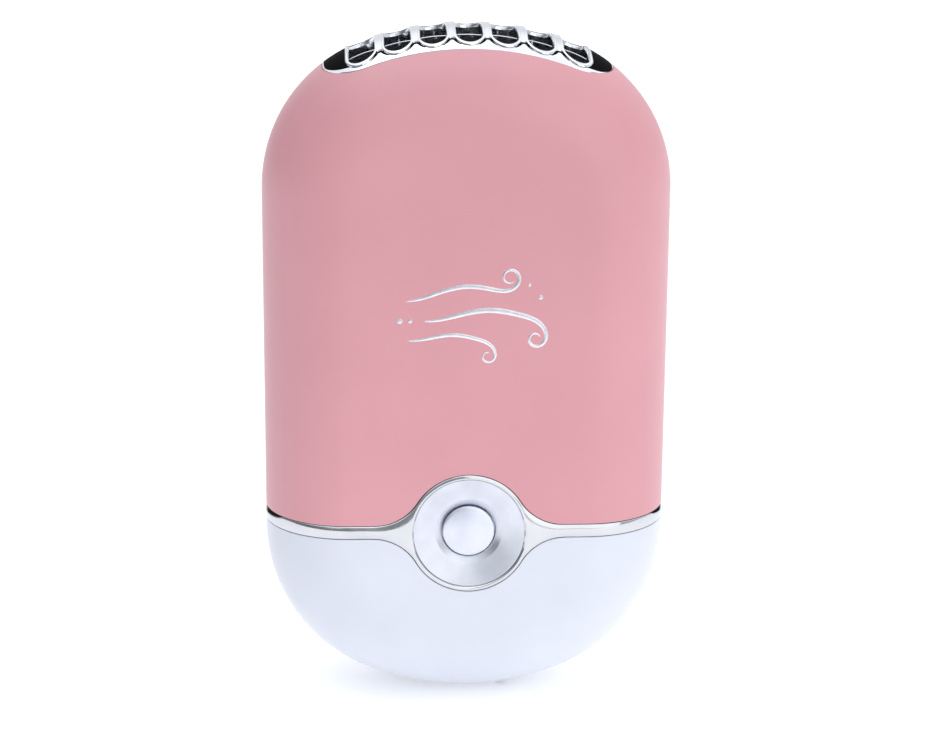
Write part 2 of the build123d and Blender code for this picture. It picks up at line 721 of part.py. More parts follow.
def lug_bridge(x, z):
    """A flat web from the scroll's front plate out to a lug."""
    reach = math.hypot(x, z - BLOWER_Z)
    bearing = math.degrees(math.atan2(z - BLOWER_Z, x))
    web = block((SCROLL_START_R, reach), (PLATE_FRONT_Y, -CHAMBER_HALF), (-LUG_R, LUG_R))
    return moved(Rot(0, -bearing, 0) * web, z=BLOWER_Z)


def wire_notch():
    """The slot in the front plate that the motor's wires leave through."""
    spread = WIRE_PITCH / 2 + WIRE_R + SCREW_GAP
    x_span = (MOTOR_WIRE_X - spread, MOTOR_WIRE_X + spread)
    z = BLOWER_Z - MOTOR_WIRE_IN
    z_half = WIRE_R + SCREW_GAP
    return block(x_span, (-CASE_T, -CHAMBER_HALF + SHELL_GAP), (z - z_half - WIRE_BEND, z + z_half))


def make_volute_cover():
    cover = slab_y(chamber_outline(VOLUTE_WALL), CHAMBER_HALF, COVER_BACK_Y)
    for x, z in cover_posts():
        cover += along_y(COVER_POST_R, CHAMBER_HALF, COVER_BACK_Y, x, z)
    cover += along_y(INLET_R + INLET_RING_T, CHAMBER_HALF, COVER_BACK_Y + INLET_RING_H, z=BLOWER_Z)
    cover -= along_y(INLET_R, 0, CASE_T, z=BLOWER_Z)
    cover -= block((-CASE_W, CASE_W), (-CASE_T, CASE_T), (VOLUTE_TOP_Z, CASE_H))
    for x, z in cover_posts():
        cover -= along_y(SMALL_SCREW_R + SCREW_GAP, 0, CASE_T, x, z)
    return cover & case_body(WALL + INNER_GAP)


def blade_profile():
    """One forward-curved blade: two concentric arcs closed by short ends."""
    chord = IMPELLER_R - BLADE_IN_R
    lean = math.asin(chord / (2 * BLADE_BEND_R))
    middle = IMPELLER_R - chord / 2 - BLADE_T / 4
    arcs = []
    for radius in (BLADE_BEND_R - BLADE_T / 2, BLADE_BEND_R + BLADE_T / 2):
        drop = radius * math.cos(lean)
        arcs.append([
            (middle + radius * math.sin(angle), radius * math.cos(angle) - drop)
            for angle in (-lean, 0, lean)
        ])
    with BuildSketch(Plane.XZ) as sketch:
        with BuildLine():
            ThreePointArc(*arcs[0])
            Line(arcs[0][2], arcs[1][2])
            ThreePointArc(*reversed(arcs[1]))
            Line(arcs[1][0], arcs[0][0])
        make_face()
    return sketch.sketch


def make_impeller():
    base_front = -CHAMBER_HALF + BASE_GAP
    top = CHAMBER_HALF - TOP_GAP
    blade = slab_y(blade_profile(), base_front + BASE_T / 2, top - TOP_RING_T / 2)
    disc = ring_y(IMPELLER_R, HUB_R - HUB_WALL, base_front, base_front + BASE_T)
    hub = ring_y(HUB_R, HUB_R - HUB_WALL, base_front, HUB_TOP_Y)
    hub += along_y(HUB_R, HUB_TOP_Y - HUB_WALL, HUB_TOP_Y)
    hub += along_y(HUB_BOSS_R, HUB_TOP_Y - HUB_BOSS_H, HUB_TOP_Y)
    ring = ring_y(IMPELLER_R, IMPELLER_R - TOP_RING_W, top - TOP_RING_T, top)
    wheel = disc + hub + ring
    wheel += [Rot(0, index * 360 / BLADE_COUNT, 0) * blade for index in range(BLADE_COUNT)]
    wheel -= along_y(SHAFT_R, -CASE_T, HUB_TOP_Y - HUB_WALL / 2)
    return moved(wheel, z=BLOWER_Z)


def make_rotor_yoke():
    outer = HUB_R - HUB_WALL
    top = HUB_TOP_Y - HUB_WALL
    return ring_y(outer, outer - YOKE_T, top - MAGNET_H, top, z=BLOWER_Z)


def make_magnet_ring():
    outer = HUB_R - HUB_WALL - YOKE_T
    top = HUB_TOP_Y - HUB_WALL
    return ring_y(outer, outer - MAGNET_T, top - MAGNET_H, top, z=BLOWER_Z)


def make_motor_shaft():
    return along_y(SHAFT_R, -CHAMBER_HALF + SHAFT_SHORT, HUB_TOP_Y - HUB_WALL / 2, z=BLOWER_Z)


def stator_span():
    """The stator's front and back, centred in the magnet."""
    centre = HUB_TOP_Y - HUB_WALL - MAGNET_H / 2
    return centre - STATOR_H / 2, centre + STATOR_H / 2


def stator_radius():
    return HUB_R - HUB_WALL - YOKE_T - MAGNET_T - AIR_GAP


def make_bearing_sleeve():
    bore = SHAFT_R + SHAFT_FIT
    top = stator_span()[1] + BEARING_PROUD
    return ring_y(bore + BEARING_WALL, bore, -CHAMBER_HALF + SHAFT_SHORT, top, z=BLOWER_Z)


def make_bearing_tube():
    """The brass tube that stands on the front plate and carries bearing and stator."""
    inner = SHAFT_R + SHAFT_FIT + BEARING_WALL
    tube = ring_y(STATOR_TUBE_R, inner, -CHAMBER_HALF, stator_span()[1])
    tube += along_y(STATOR_TUBE_R, -CHAMBER_HALF, -CHAMBER_HALF + SHAFT_SHORT)
    return moved(tube, z=BLOWER_Z)


def make_stator_core():
    """A laminated core with four poles, each with a curved shoe."""
    front, back = stator_span()
    outer = stator_radius()
    core = along_y(STATOR_HUB_R, front, back)
    arm = block((0, outer - SHOE_T / 2), (front, back), (-POLE_W / 2, POLE_W / 2))
    wedge = Polyline((0, 0), polar(2 * outer, -SHOE_SPAN / 2), polar(2 * outer, SHOE_SPAN / 2), close=True)
    sector = slab_y(Plane.XZ * make_face(wedge), front, back)
    shoe = ring_y(outer, outer - SHOE_T, front, back) & sector
    for index in range(POLE_COUNT):
        core += Rot(0, index * 360 / POLE_COUNT, 0) * (arm + shoe)
    core -= along_y(STATOR_TUBE_R, -CASE_T, CASE_T)
    return moved(core, z=BLOWER_Z)


def make_stator_coils():
    """Four windings, one round each pole."""
    front, back = stator_span()
    half = POLE_W / 2
    start = STATOR_HUB_R + COIL_GAP
    end = math.sqrt((stator_radius() - SHOE_T) ** 2 - (half + COIL_T) ** 2) - COIL_GAP
    outer = block((start, end), (front - COIL_T, back + COIL_T), (-half - COIL_T, half + COIL_T))
    outer = fillet(outer.edges().filter_by(Axis.X), COIL_ROUND)
    coil = outer - block((0, 2 * end), (front, back), (-half, half))
    coils = [moved(Rot(0, index * 360 / POLE_COUNT, 0) * coil, z=BLOWER_Z) for index in range(POLE_COUNT)]
    return Compound(children=coils)


def make_motor_board():
    front = motor_board_front()
    return ring_y(MOTOR_BOARD_R, STATOR_TUBE_R, front, front + MOTOR_BOARD_T, z=BLOWER_Z)


def motor_board_front():
    return -CHAMBER_HALF + MOTOR_BOARD_GAP


def make_intake_grille():
    """A round louvre plate with two rings of radial slots and three clips."""
    plate = along_y(INTAKE_R, HALF_T - INTAKE_T, HALF_T)
    slots = Sketch()
    for inner, outer, count in INTAKE_RINGS:
        slot = Pos((inner + outer) / 2, 0) * SlotOverall(outer - inner, INTAKE_SLOT_W)
        for index in range(count):
            slots += Rot(0, 0, index * 360 / count) * slot
    plate -= slab_y(Plane.XZ * slots, 0, CASE_T)
    reach = INTAKE_R - INTAKE_LEDGE - INTAKE_GAP
    y_span = (HALF_T - INTAKE_T - INTAKE_CLIP_H, HALF_T - INTAKE_T + MERGE)
    clip = block((reach - INTAKE_CLIP_T, reach), y_span, (-INTAKE_CLIP_W / 2, INTAKE_CLIP_W / 2))
    clip &= along_y(reach, 0, CASE_T)
    for angle in INTAKE_CLIP_ANGLES:
        plate += Rot(0, angle, 0) * clip
    return moved(plate, z=BLOWER_Z)


def make_circuit_board():
    half = BOARD_W / 2
    board = block((-half, half), (BOARD_FRONT_Y, BOARD_BACK_Y), (BOARD_BOTTOM_Z, BOARD_TOP_Z))
    for x, z in board_screw_places():
        board -= along_y(SMALL_SCREW_R + SCREW_GAP, -CASE_T, CASE_T, x, z)
    return board


def board_screw_places():
    upper = [(side * DISH_POST_X, EYE_Z) for side in (-1, 1)]
    lower = [(side * BOARD_SCREW_X, BOARD_SCREW_Z) for side in (-1, 1)]
    return upper + lower


def make_board_chips():
    chips = []
    for x, up, width, height, thick in CHIPS:
        z = EYE_Z + up
        y_span = (BOARD_FRONT_Y - thick, BOARD_FRONT_Y)
        chips.append(block((x - width / 2, x + width / 2), y_span, (z - height / 2, z + height / 2)))
    return Compound(children=chips)


def make_tact_switch():
    half = SWITCH_W / 2
    body = block((-half, half), (SWITCH_FACE_Y, BOARD_FRONT_Y), (EYE_Z - half, EYE_Z + half))
    depth = PLUNGER_IN + BUTTON_TRAVEL + PLUNGER_GAP
    return body - along_y(PLUNGER_R + PLUNGER_GAP, SWITCH_FACE_Y - OVERRUN, SWITCH_FACE_Y + depth, z=EYE_Z)


def make_switch_plunger():
    return along_y(PLUNGER_R, PLUNGER_TIP_Y, SWITCH_FACE_Y + PLUNGER_IN, z=EYE_Z)


def make_usb_socket():
    """A metal shell with a plastic contact tongue inside, open at the bottom."""
    low = -HALF_H + USB_RECESS
    shell = moved(extrude(RectangleRounded(USB_W, USB_H, USB_CORNER), amount=USB_L), z=low)
    profile = RectangleRounded(USB_W - 2 * USB_WALL, USB_H - 2 * USB_WALL, USB_CORNER - USB_WALL)
    cavity = moved(extrude(profile, amount=USB_DEPTH + OVERRUN), z=low - OVERRUN)
    tongue_y = (-USB_TONGUE_T / 2, USB_TONGUE_T / 2)
    tongue_z = (low + USB_TONGUE_SINK, low + USB_DEPTH + MERGE)
    return shell - cavity + block((-USB_TONGUE_W / 2, USB_TONGUE_W / 2), tongue_y, tongue_z)


def led_y():
    return BOARD_FRONT_Y - LED_CHIP_H / 2


def make_charge_light():
    """A clear light guide from the board's lamp to the bottom of the case."""
    rod = Pos(LED_X, led_y(), -HALF_H) * Cylinder(LED_R, CASE_W / 2)
    rod = rod & case_body(LED_SINK)
    return rod & block((-FAR, FAR), (-FAR, FAR), (-FAR, BOARD_BOTTOM_Z - SHELL_GAP))


def make_charge_lamp():
    y_span = (BOARD_FRONT_Y - LED_CHIP_H, BOARD_FRONT_Y)
    x_span = (LED_X - LED_CHIP_W / 2, LED_X + LED_CHIP_W / 2)
    return block(x_span, y_span, (BOARD_BOTTOM_Z, BOARD_BOTTOM_Z + LED_CHIP_W))


def make_battery_cell():
    cell = Rot(0, 90, 0) * Cylinder(CELL_R, CELL_L)
    cell = fillet(cell.edges().filter_by(GeomType.CIRCLE), CELL_ROUND)
    cell += moved(Rot(0, 90, 0) * Cylinder(CELL_NUB_R, CELL_NUB_H), x=CELL_L / 2 + CELL_NUB_H / 2)
    return moved(cell, 0, CELL_Y, CELL_Z)


def make_battery_pad():
    y_span = (BOARD_BACK_Y, CELL_Y - CELL_R)
    return block((-PAD_W / 2, PAD_W / 2), y_span, (CELL_Z - PAD_H / 2, CELL_Z + PAD_H / 2))


def cell_ends():
    """The outer faces of the tabs on the two ends of the cell."""
    return -CELL_L / 2 - TAB_T, CELL_L / 2 + CELL_NUB_H + TAB_T


def make_battery_tabs():
    left, right = cell_ends()
    size = CELL_NUB_R
    spans = ((left, left + TAB_T), (right - TAB_T, right))
    tabs = [block(span, (CELL_Y - size, CELL_Y + size), (CELL_Z - size, CELL_Z + size)) for span in spans]
    return Compound(children=tabs)


def wire(points):
    """A round wire along straight runs joined by tangent arcs."""
    path = FilletPolyline(*points, radius=WIRE_BEND)
    start = Plane(origin=path @ 0, z_dir=path % 0)
    return sweep(start * Circle(WIRE_R), path=path)


def make_motor_leads():
    """Two wires from the motor's board, through the front plate and down to the circuit board."""
    run_y = PLATE_FRONT_Y - WIRE_R - WIRE_SLACK
    top = BLOWER_Z - MOTOR_WIRE_IN
    low = BOARD_TOP_Z - WIRE_R - WIRE_SLACK
    leads = []
    for side in (-1, 1):
        x = MOTOR_WIRE_X + side * WIRE_PITCH / 2
        points = [(x, motor_board_front(), top), (x, run_y, top), (x, run_y, low), (x, BOARD_FRONT_Y, low)]
        leads.append(wire(points))
    return Compound(children=leads)


def make_battery_leads():
    """Two wires from the tabs of the cell, under it and to the back of the circuit board."""
    leads = []
    low = CELL_Z - CELL_WIRE_DROP
    for side, end in zip((-1, 1), cell_ends()):
        out = end + side * CELL_WIRE_OUT
        x = side * CELL_WIRE_X
        points = [(end, CELL_Y, CELL_Z), (out, CELL_Y, CELL_Z), (out, CELL_Y, low), (x, CELL_Y, low)]
        points.append((x, BOARD_BACK_Y, low))
        leads.append(wire(points))
    return Compound(children=leads)


def screw(radius, length, head_r, head_h, seat, x, z):
    """A pan-head screw that points to the front, with the underside of its head at seat."""
    head = along_y(head_r, seat, seat + head_h, x, z)
    return head + along_y(radius, seat - length, seat, x, z)


def small_screws(places, seat, length):
    screws = [screw(SMALL_SCREW_R, length, SMALL_HEAD_R, SMALL_HEAD_H, seat, x, z) for x, z in places]
    return Compound(children=screws)


def make_case_screws():
    screws = []
    for x, z in CASE_SCREWS_UPPER + CASE_SCREWS_LOWER:
        screws.append(screw(CASE_SCREW_R, CASE_SCREW_L, CASE_HEAD_R, CASE_HEAD_H, CASE_SEAT_Y, x, z))
    return Compound(children=screws)


def make_volute_screws():
    return small_screws(VOLUTE_LUGS, -CHAMBER_HALF, VOLUTE_SCREW_L)


def make_cover_screws():
    return small_screws(cover_posts(), COVER_BACK_Y, SMALL_SCREW_L)


def make_board_screws():
    return small_screws(board_screw_places(), BOARD_BACK_Y, SMALL_SCREW_L)


def main():
    os.makedirs("parts", exist_ok=True)
    makers = {
        "front_shell": make_front_shell,
        "back_shell": make_back_shell,
        "front_cap": make_front_cap,
        "back_cap": make_back_cap,
        "trim_band": make_trim_band,
        "button_dish": make_button_dish,
        "power_button": make_power_button,
        "outlet_grille": make_outlet_grille,
        "sponge": make_sponge,
        "volute_housing": make_volute_housing,
        "volute_cover": make_volute_cover,
        "impeller": make_impeller,
        "rotor_yoke": make_rotor_yoke,
        "magnet_ring": make_magnet_ring,
        "motor_shaft": make_motor_shaft,
        "bearing_sleeve": make_bearing_sleeve,
        "bearing_tube": make_bearing_tube,
        "stator_core": make_stator_core,
        "stator_coils": make_stator_coils,
        "motor_board": make_motor_board,
        "intake_grille": make_intake_grille,
        "circuit_board": make_circuit_board,
        "board_chips": make_board_chips,
        "tact_switch": make_tact_switch,
        "switch_plunger": make_switch_plunger,
        "usb_socket": make_usb_socket,
        "charge_light": make_charge_light,
        "charge_lamp": make_charge_lamp,
        "battery_cell": make_battery_cell,
        "battery_pad": make_battery_pad,
        "battery_tabs": make_battery_tabs,
        "motor_leads": make_motor_leads,
        "battery_leads": make_battery_leads,
        "case_screws": make_case_screws,
        "volute_screws": make_volute_screws,
        "cover_screws": make_cover_screws,
        "board_screws": make_board_screws,
    }
    for node, maker in makers.items():
        export_step(maker(), f"parts/{node}.step")


main()
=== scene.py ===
import math

import bmesh
import bpy
import numpy as np
from mathutils import Matrix, Vector


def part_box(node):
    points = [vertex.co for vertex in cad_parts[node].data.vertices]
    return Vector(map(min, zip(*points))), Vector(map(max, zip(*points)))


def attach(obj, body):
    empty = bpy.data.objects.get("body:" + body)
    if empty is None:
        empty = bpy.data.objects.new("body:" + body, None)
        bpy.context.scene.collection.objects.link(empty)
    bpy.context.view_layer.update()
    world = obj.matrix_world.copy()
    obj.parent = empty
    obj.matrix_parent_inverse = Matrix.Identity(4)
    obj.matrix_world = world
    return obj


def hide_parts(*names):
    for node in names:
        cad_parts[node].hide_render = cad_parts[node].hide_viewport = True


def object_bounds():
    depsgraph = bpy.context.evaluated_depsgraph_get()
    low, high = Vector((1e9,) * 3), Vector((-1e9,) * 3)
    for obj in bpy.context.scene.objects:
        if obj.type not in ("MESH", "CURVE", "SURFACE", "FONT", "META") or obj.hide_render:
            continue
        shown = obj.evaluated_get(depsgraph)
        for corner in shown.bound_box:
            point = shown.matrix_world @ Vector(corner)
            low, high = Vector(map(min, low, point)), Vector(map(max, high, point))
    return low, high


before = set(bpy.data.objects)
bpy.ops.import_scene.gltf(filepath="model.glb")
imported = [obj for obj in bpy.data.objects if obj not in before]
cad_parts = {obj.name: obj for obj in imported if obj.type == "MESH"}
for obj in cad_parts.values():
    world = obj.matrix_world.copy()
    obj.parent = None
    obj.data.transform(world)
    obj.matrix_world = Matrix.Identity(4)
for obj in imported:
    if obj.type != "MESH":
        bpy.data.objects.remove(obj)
cad_low, cad_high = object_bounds()

# Eyelash extension fan: a hand-held blower with an outlet grille on top, and a round button in the eye
# of its trim band.
# X is right as seen from the front, -Y is the front, +Z is up.
# Sizes are in millimetres, and put turns them to metres.
MM = 0.001

# Case: a flat slab with a crowned outline and fully rounded edges
CASE_W, CASE_H, CASE_T = 80.0, 134.5, 36.0
TOP_CROWN_R, TOP_SHOULDER_R = 60.0, 30.0
BOTTOM_CROWN_R, BOTTOM_SHOULDER_R = 51.0, 33.0
SIDE_FLAT = 2.0
WALL = 2.0
# Half a joint between the shells, and the small round on their edges
SEAM, EDGE_ROUND = 0.03, 0.14
# The slab's half sizes, the radius of its edges, and the length of the way round one
HALF_W, HALF_H, HALF_T = CASE_W / 2, CASE_H / 2, CASE_T / 2
EDGE_R = HALF_T - SIDE_FLAT / 2
ROLL = EDGE_R * math.pi / 2

# Band, eye, dish and button
BAND_Z, BAND_H, BAND_GAP = -29.85, 2.5, 0.14
# How far the wall under the band's edges reaches into the case, and the edges beside the band
BAND_TUCK = 1.2
SHELL_EDGE_Z, CAP_EDGE_Z = BAND_Z + BAND_H / 2 + BAND_GAP, BAND_Z - BAND_H / 2 - BAND_GAP
EYE_Z, EYE_R, EYE_RIM = -30.2, 11.9, 0.9
EYE_HOLE_R = EYE_R - EYE_RIM
FLARE_R = 10.0
DISH_R, DISH_INNER_R, DISH_BACK_Y = 10.95, 9.95, -14.6
BUTTON_R, BUTTON_HOLE_R = 5.1, 5.3
POST_R, POST_PILOT_R = 1.7, 0.95

# Louvre
BLOWER_Z, INTAKE_HOLE_R = 9.0, 22.1

# Outlet: the opening, the slots in the grille and the seat inside the case
OUTLET_L, OUTLET_W, OUTLET_CORNER, OUTLET_GAP = 56.0, 22.4, 8.5, 0.2
SLOT_COUNT, SLOT_W, SLOT_L, SLOT_PITCH, SLOT_FORWARD = 7, 5.2, 17.0, 6.85, 1.5
SLOTS = [(index - (SLOT_COUNT - 1) / 2) * SLOT_PITCH for index in range(SLOT_COUNT)]
LIP_EDGE = 0.45
SEAT_TOP, SEAT_H, SEAT_HOLE, SEAT_RING = 54.9, 3.8, 0.8, 1.9

# Holes in the back and the bottom
UPPER_SCREWS = [(-17.0, -24.0), (17.0, -24.0)]
LOWER_SCREWS = [(-14.0, -51.0), (14.0, -51.0)]
SCREW_HOLE_R, SCREW_SEAT_Y = 2.25, 9.0
USB_HALF_W, USB_HALF_H, USB_CORNER = 4.05, 2.15, 0.9
LIGHT_X, LIGHT_Y, LIGHT_HOLE_R = 7.6, -4.0, 1.05

MIRROR = np.array([-1, 1])


def tone(code):
    """An sRGB hex value as linear colour: the low end is divided by 12.92, the rest raised to 2.4."""
    parts = [int(code[i:i + 2], 16) / 255 for i in (0, 2, 4)]
    return (*[c / 12.92 if c <= 0.04045 else ((c + 0.055) / 1.055) ** 2.4 for c in parts], 1.0)


def node(tree, kind, inputs, **settings):
    """Adds a node with its settings. An input gets a value, or a link where a socket is given."""
    made = tree.nodes.new(kind)
    for name, value in settings.items():
        setattr(made, name, value)
    for name, value in inputs.items():
        if isinstance(value, bpy.types.NodeSocket):
            tree.links.new(value, made.inputs[name])
        else:
            made.inputs[name].default_value = value
    return made


def blank(name):
    """An empty node material, its tree and the Object coordinates socket."""
    made = bpy.data.materials.new(name)
    made.use_nodes = True
    made.node_tree.nodes.clear()
    place = node(made.node_tree, "ShaderNodeTexCoord", {}).outputs["Object"]
    return made, made.node_tree, place


def close(made, **inputs):
    """Ends a material with its shader. Names like Coat_Weight stand for the socket Coat Weight."""
    named = {key.replace("_", " "): value for key, value in inputs.items()}
    shader = node(made.node_tree, "ShaderNodeBsdfPrincipled", named)
    node(made.node_tree, "ShaderNodeOutputMaterial", {"Surface": shader.outputs[0]})
    return made


def noise(tree, place, size, detail=2.0):
    """The value of a noise whose grains are size millimetres wide."""
    inputs = {"Vector": place, "Scale": 1 / (size * MM), "Detail": detail}
    return node(tree, "ShaderNodeTexNoise", inputs).outputs[0]


def between(tree, value, low, high, start=0.3, end=0.7):
    """Maps a value from start...end to low...high."""
    inputs = {"Value": value, "From Min": start, "From Max": end, "To Min": low, "To Max": high}
    return node(tree, "ShaderNodeMapRange", inputs).outputs[0]


def mixed(tree, share, *ends):
    """A colour between two others, each a socket or an sRGB hex value."""
    first, second = [tone(end) if isinstance(end, str) else end for end in ends]
    return node(tree, "ShaderNodeMix", {0: share, 6: first, 7: second}, data_type="RGBA").outputs[2]


def blended(tree, share, first, second):
    """A number between two others."""
    return node(tree, "ShaderNodeMix", {0: share, 2: first, 3: second}).outputs[0]


def maths(tree, operation, *values):
    """The result of one operation on sockets and numbers."""
    return node(tree, "ShaderNodeMath", dict(enumerate(values)), operation=operation).outputs[0]


def axes(tree, vector):
    """A vector's three coordinates as sockets."""
    return node(tree, "ShaderNodeSeparateXYZ", {"Vector": vector}).outputs


def seen_flat(tree, place):
    """A place's x and z as a flat vector, as seen from the front."""
    parts = axes(tree, place)
    return node(tree, "ShaderNodeCombineXYZ", {"X": parts[0], "Y": parts[2]}).outputs[0]


def dented(tree, height, depth):
    """Turns a height from 0 to 1 into a bump that is depth millimetres deep."""
    return node(tree, "ShaderNodeBump", {"Height": height, "Distance": depth * MM}).outputs[0]


def plastic(name, dark, light, rough, grain, depth, patch, **fixed):
    """Moulded plastic: a colour that drifts a little over patches, a fine moulded grain as bump,
    and a roughness between two values that follows larger and finer noise together."""
    made, tree, place = blank(name)
    drift = noise(tree, place, patch, 3.0)
    fine = noise(tree, place, grain)
    colour = mixed(tree, between(tree, drift, 0, 1), dark, light)
    gloss = between(tree, maths(tree, "MULTIPLY_ADD", drift, fine, 0.15), *rough, 0.2, 0.7)
    return close(made, Base_Color=colour, Roughness=gloss, Normal=dented(tree, fine, depth), **fixed)


def metal(name, dark, light, rough, grain, depth, patch, stretch=(1, 1, 1)):
    """Bare or plated metal: full metallic, a slight cloudiness in colour and roughness,
    and fine marks that are drawn out along an axis where stretch is uneven."""
    made, tree, place = blank(name)
    drawn = node(tree, "ShaderNodeMapping", {"Vector": place, "Scale": stretch}).outputs[0]
    cloud = noise(tree, place, patch, 3.0)
    marks = noise(tree, drawn, grain, 3.0)
    colour = mixed(tree, between(tree, cloud, 0, 1), dark, light)
    gloss = between(tree, marks, *rough)
    return close(made, Base_Color=colour, Metallic=1.0, Roughness=gloss, Normal=dented(tree, marks, depth))


def spun_metal():
    """Satin-plated dish, turned on a lathe: rings about its centre catch the light as a soft fan."""
    made, tree, place = blank("spun_satin_nickel")
    centred = node(tree, "ShaderNodeMapping", {"Vector": place, "Location": (0, 0, -EYE_Z * MM)})
    flat = seen_flat(tree, centred.outputs[0])
    radius = node(tree, "ShaderNodeVectorMath", {0: flat}, operation="LENGTH").outputs["Value"]
    rings = noise(tree, node(tree, "ShaderNodeCombineXYZ", {"X": radius}).outputs[0], 0.22, 3.0)
    cloud = noise(tree, place, 5.0)
    colour = mixed(tree, between(tree, cloud, 0, 1), "CED1D8", "DADDE4")
    gloss = between(tree, rings, 0.28, 0.38)
    return close(made, Base_Color=colour, Metallic=1.0, Roughness=gloss, Normal=dented(tree, rings, 0.004))


def foam(name, dark, light, cell):
    """Foam: round pores, cell millimetres wide, as dents in a matt body, with painted shade darkening the
    colour in each dent.
    """
    made, tree, place = blank(name)
    pores = node(tree, "ShaderNodeTexVoronoi", {"Vector": place, "Scale": 1 / (cell * MM)}).outputs[0]
    # Painted shade: the colour is darkest at each pore's centre, where the bump dents it
    colour = mixed(tree, between(tree, pores, 0, 1, 0.1, 0.6), dark, light)
    rough = between(tree, noise(tree, place, cell / 3), 0.85, 0.97)
    bump = dented(tree, pores, cell * 0.35)
    return close(made, Base_Color=colour, Roughness=rough, Normal=bump, Sheen_Weight=0.2)


def striped_metal(name, dark, light, pitch, axis, rough, width=0.5):
    """Stacked sheets or wound wire: even lines across an axis, one to each sheet or turn, with painted shade
    darkening the colour into each groove.
    """
    made, tree, place = blank(name)
    wave = maths(tree, "PINGPONG", maths(tree, "DIVIDE", axes(tree, place)[axis], pitch * MM), 1.0)
    # Painted shade: the colour darkens into each line's groove, where the bump dips
    colour = mixed(tree, between(tree, wave, 0, 1, 0, width), dark, light)
    gloss = between(tree, noise(tree, place, 0.8), *rough)
    bump = dented(tree, wave, pitch * 0.4)
    return close(made, Base_Color=colour, Metallic=1.0, Roughness=gloss, Normal=bump)


def board_material():
    """Circuit board: solder mask over copper tracks on a 1.27 mm grid, and pads where tracks meet."""
    made, tree, place = blank("solder_mask_board")
    grid = {"Vector": seen_flat(tree, place), "Scale": 1 / (1.27 * MM), "Randomness": 0.6}
    cells = node(tree, "ShaderNodeTexVoronoi", grid, distance="MANHATTAN", feature="F1").outputs[0]
    tracks = between(tree, cells, 0, 1, 0.38, 0.44)
    mask = mixed(tree, noise(tree, place, 4.0), "0E4A2C", "156B3E")
    colour = mixed(tree, tracks, mask, "2E8A55")
    gloss = between(tree, noise(tree, place, 0.5), 0.28, 0.4)
    bump = dented(tree, tracks, 0.035)
    return close(made, Base_Color=colour, Roughness=gloss, Normal=bump, Coat_Weight=0.3, Coat_Roughness=0.2)


def clear_plastic():
    """Moulded polycarbonate light guide: clear, with a faint milkiness and flow marks."""
    made, tree, place = blank("clear_polycarbonate")
    flow = noise(tree, place, 1.5)
    colour = mixed(tree, flow, "F4F6F8", "FFFFFF")
    gloss = between(tree, flow, 0.05, 0.12)
    bump = dented(tree, flow, 0.01)
    return close(made, Base_Color=colour, Roughness=gloss, Normal=bump, Transmission_Weight=0.85, IOR=1.585)


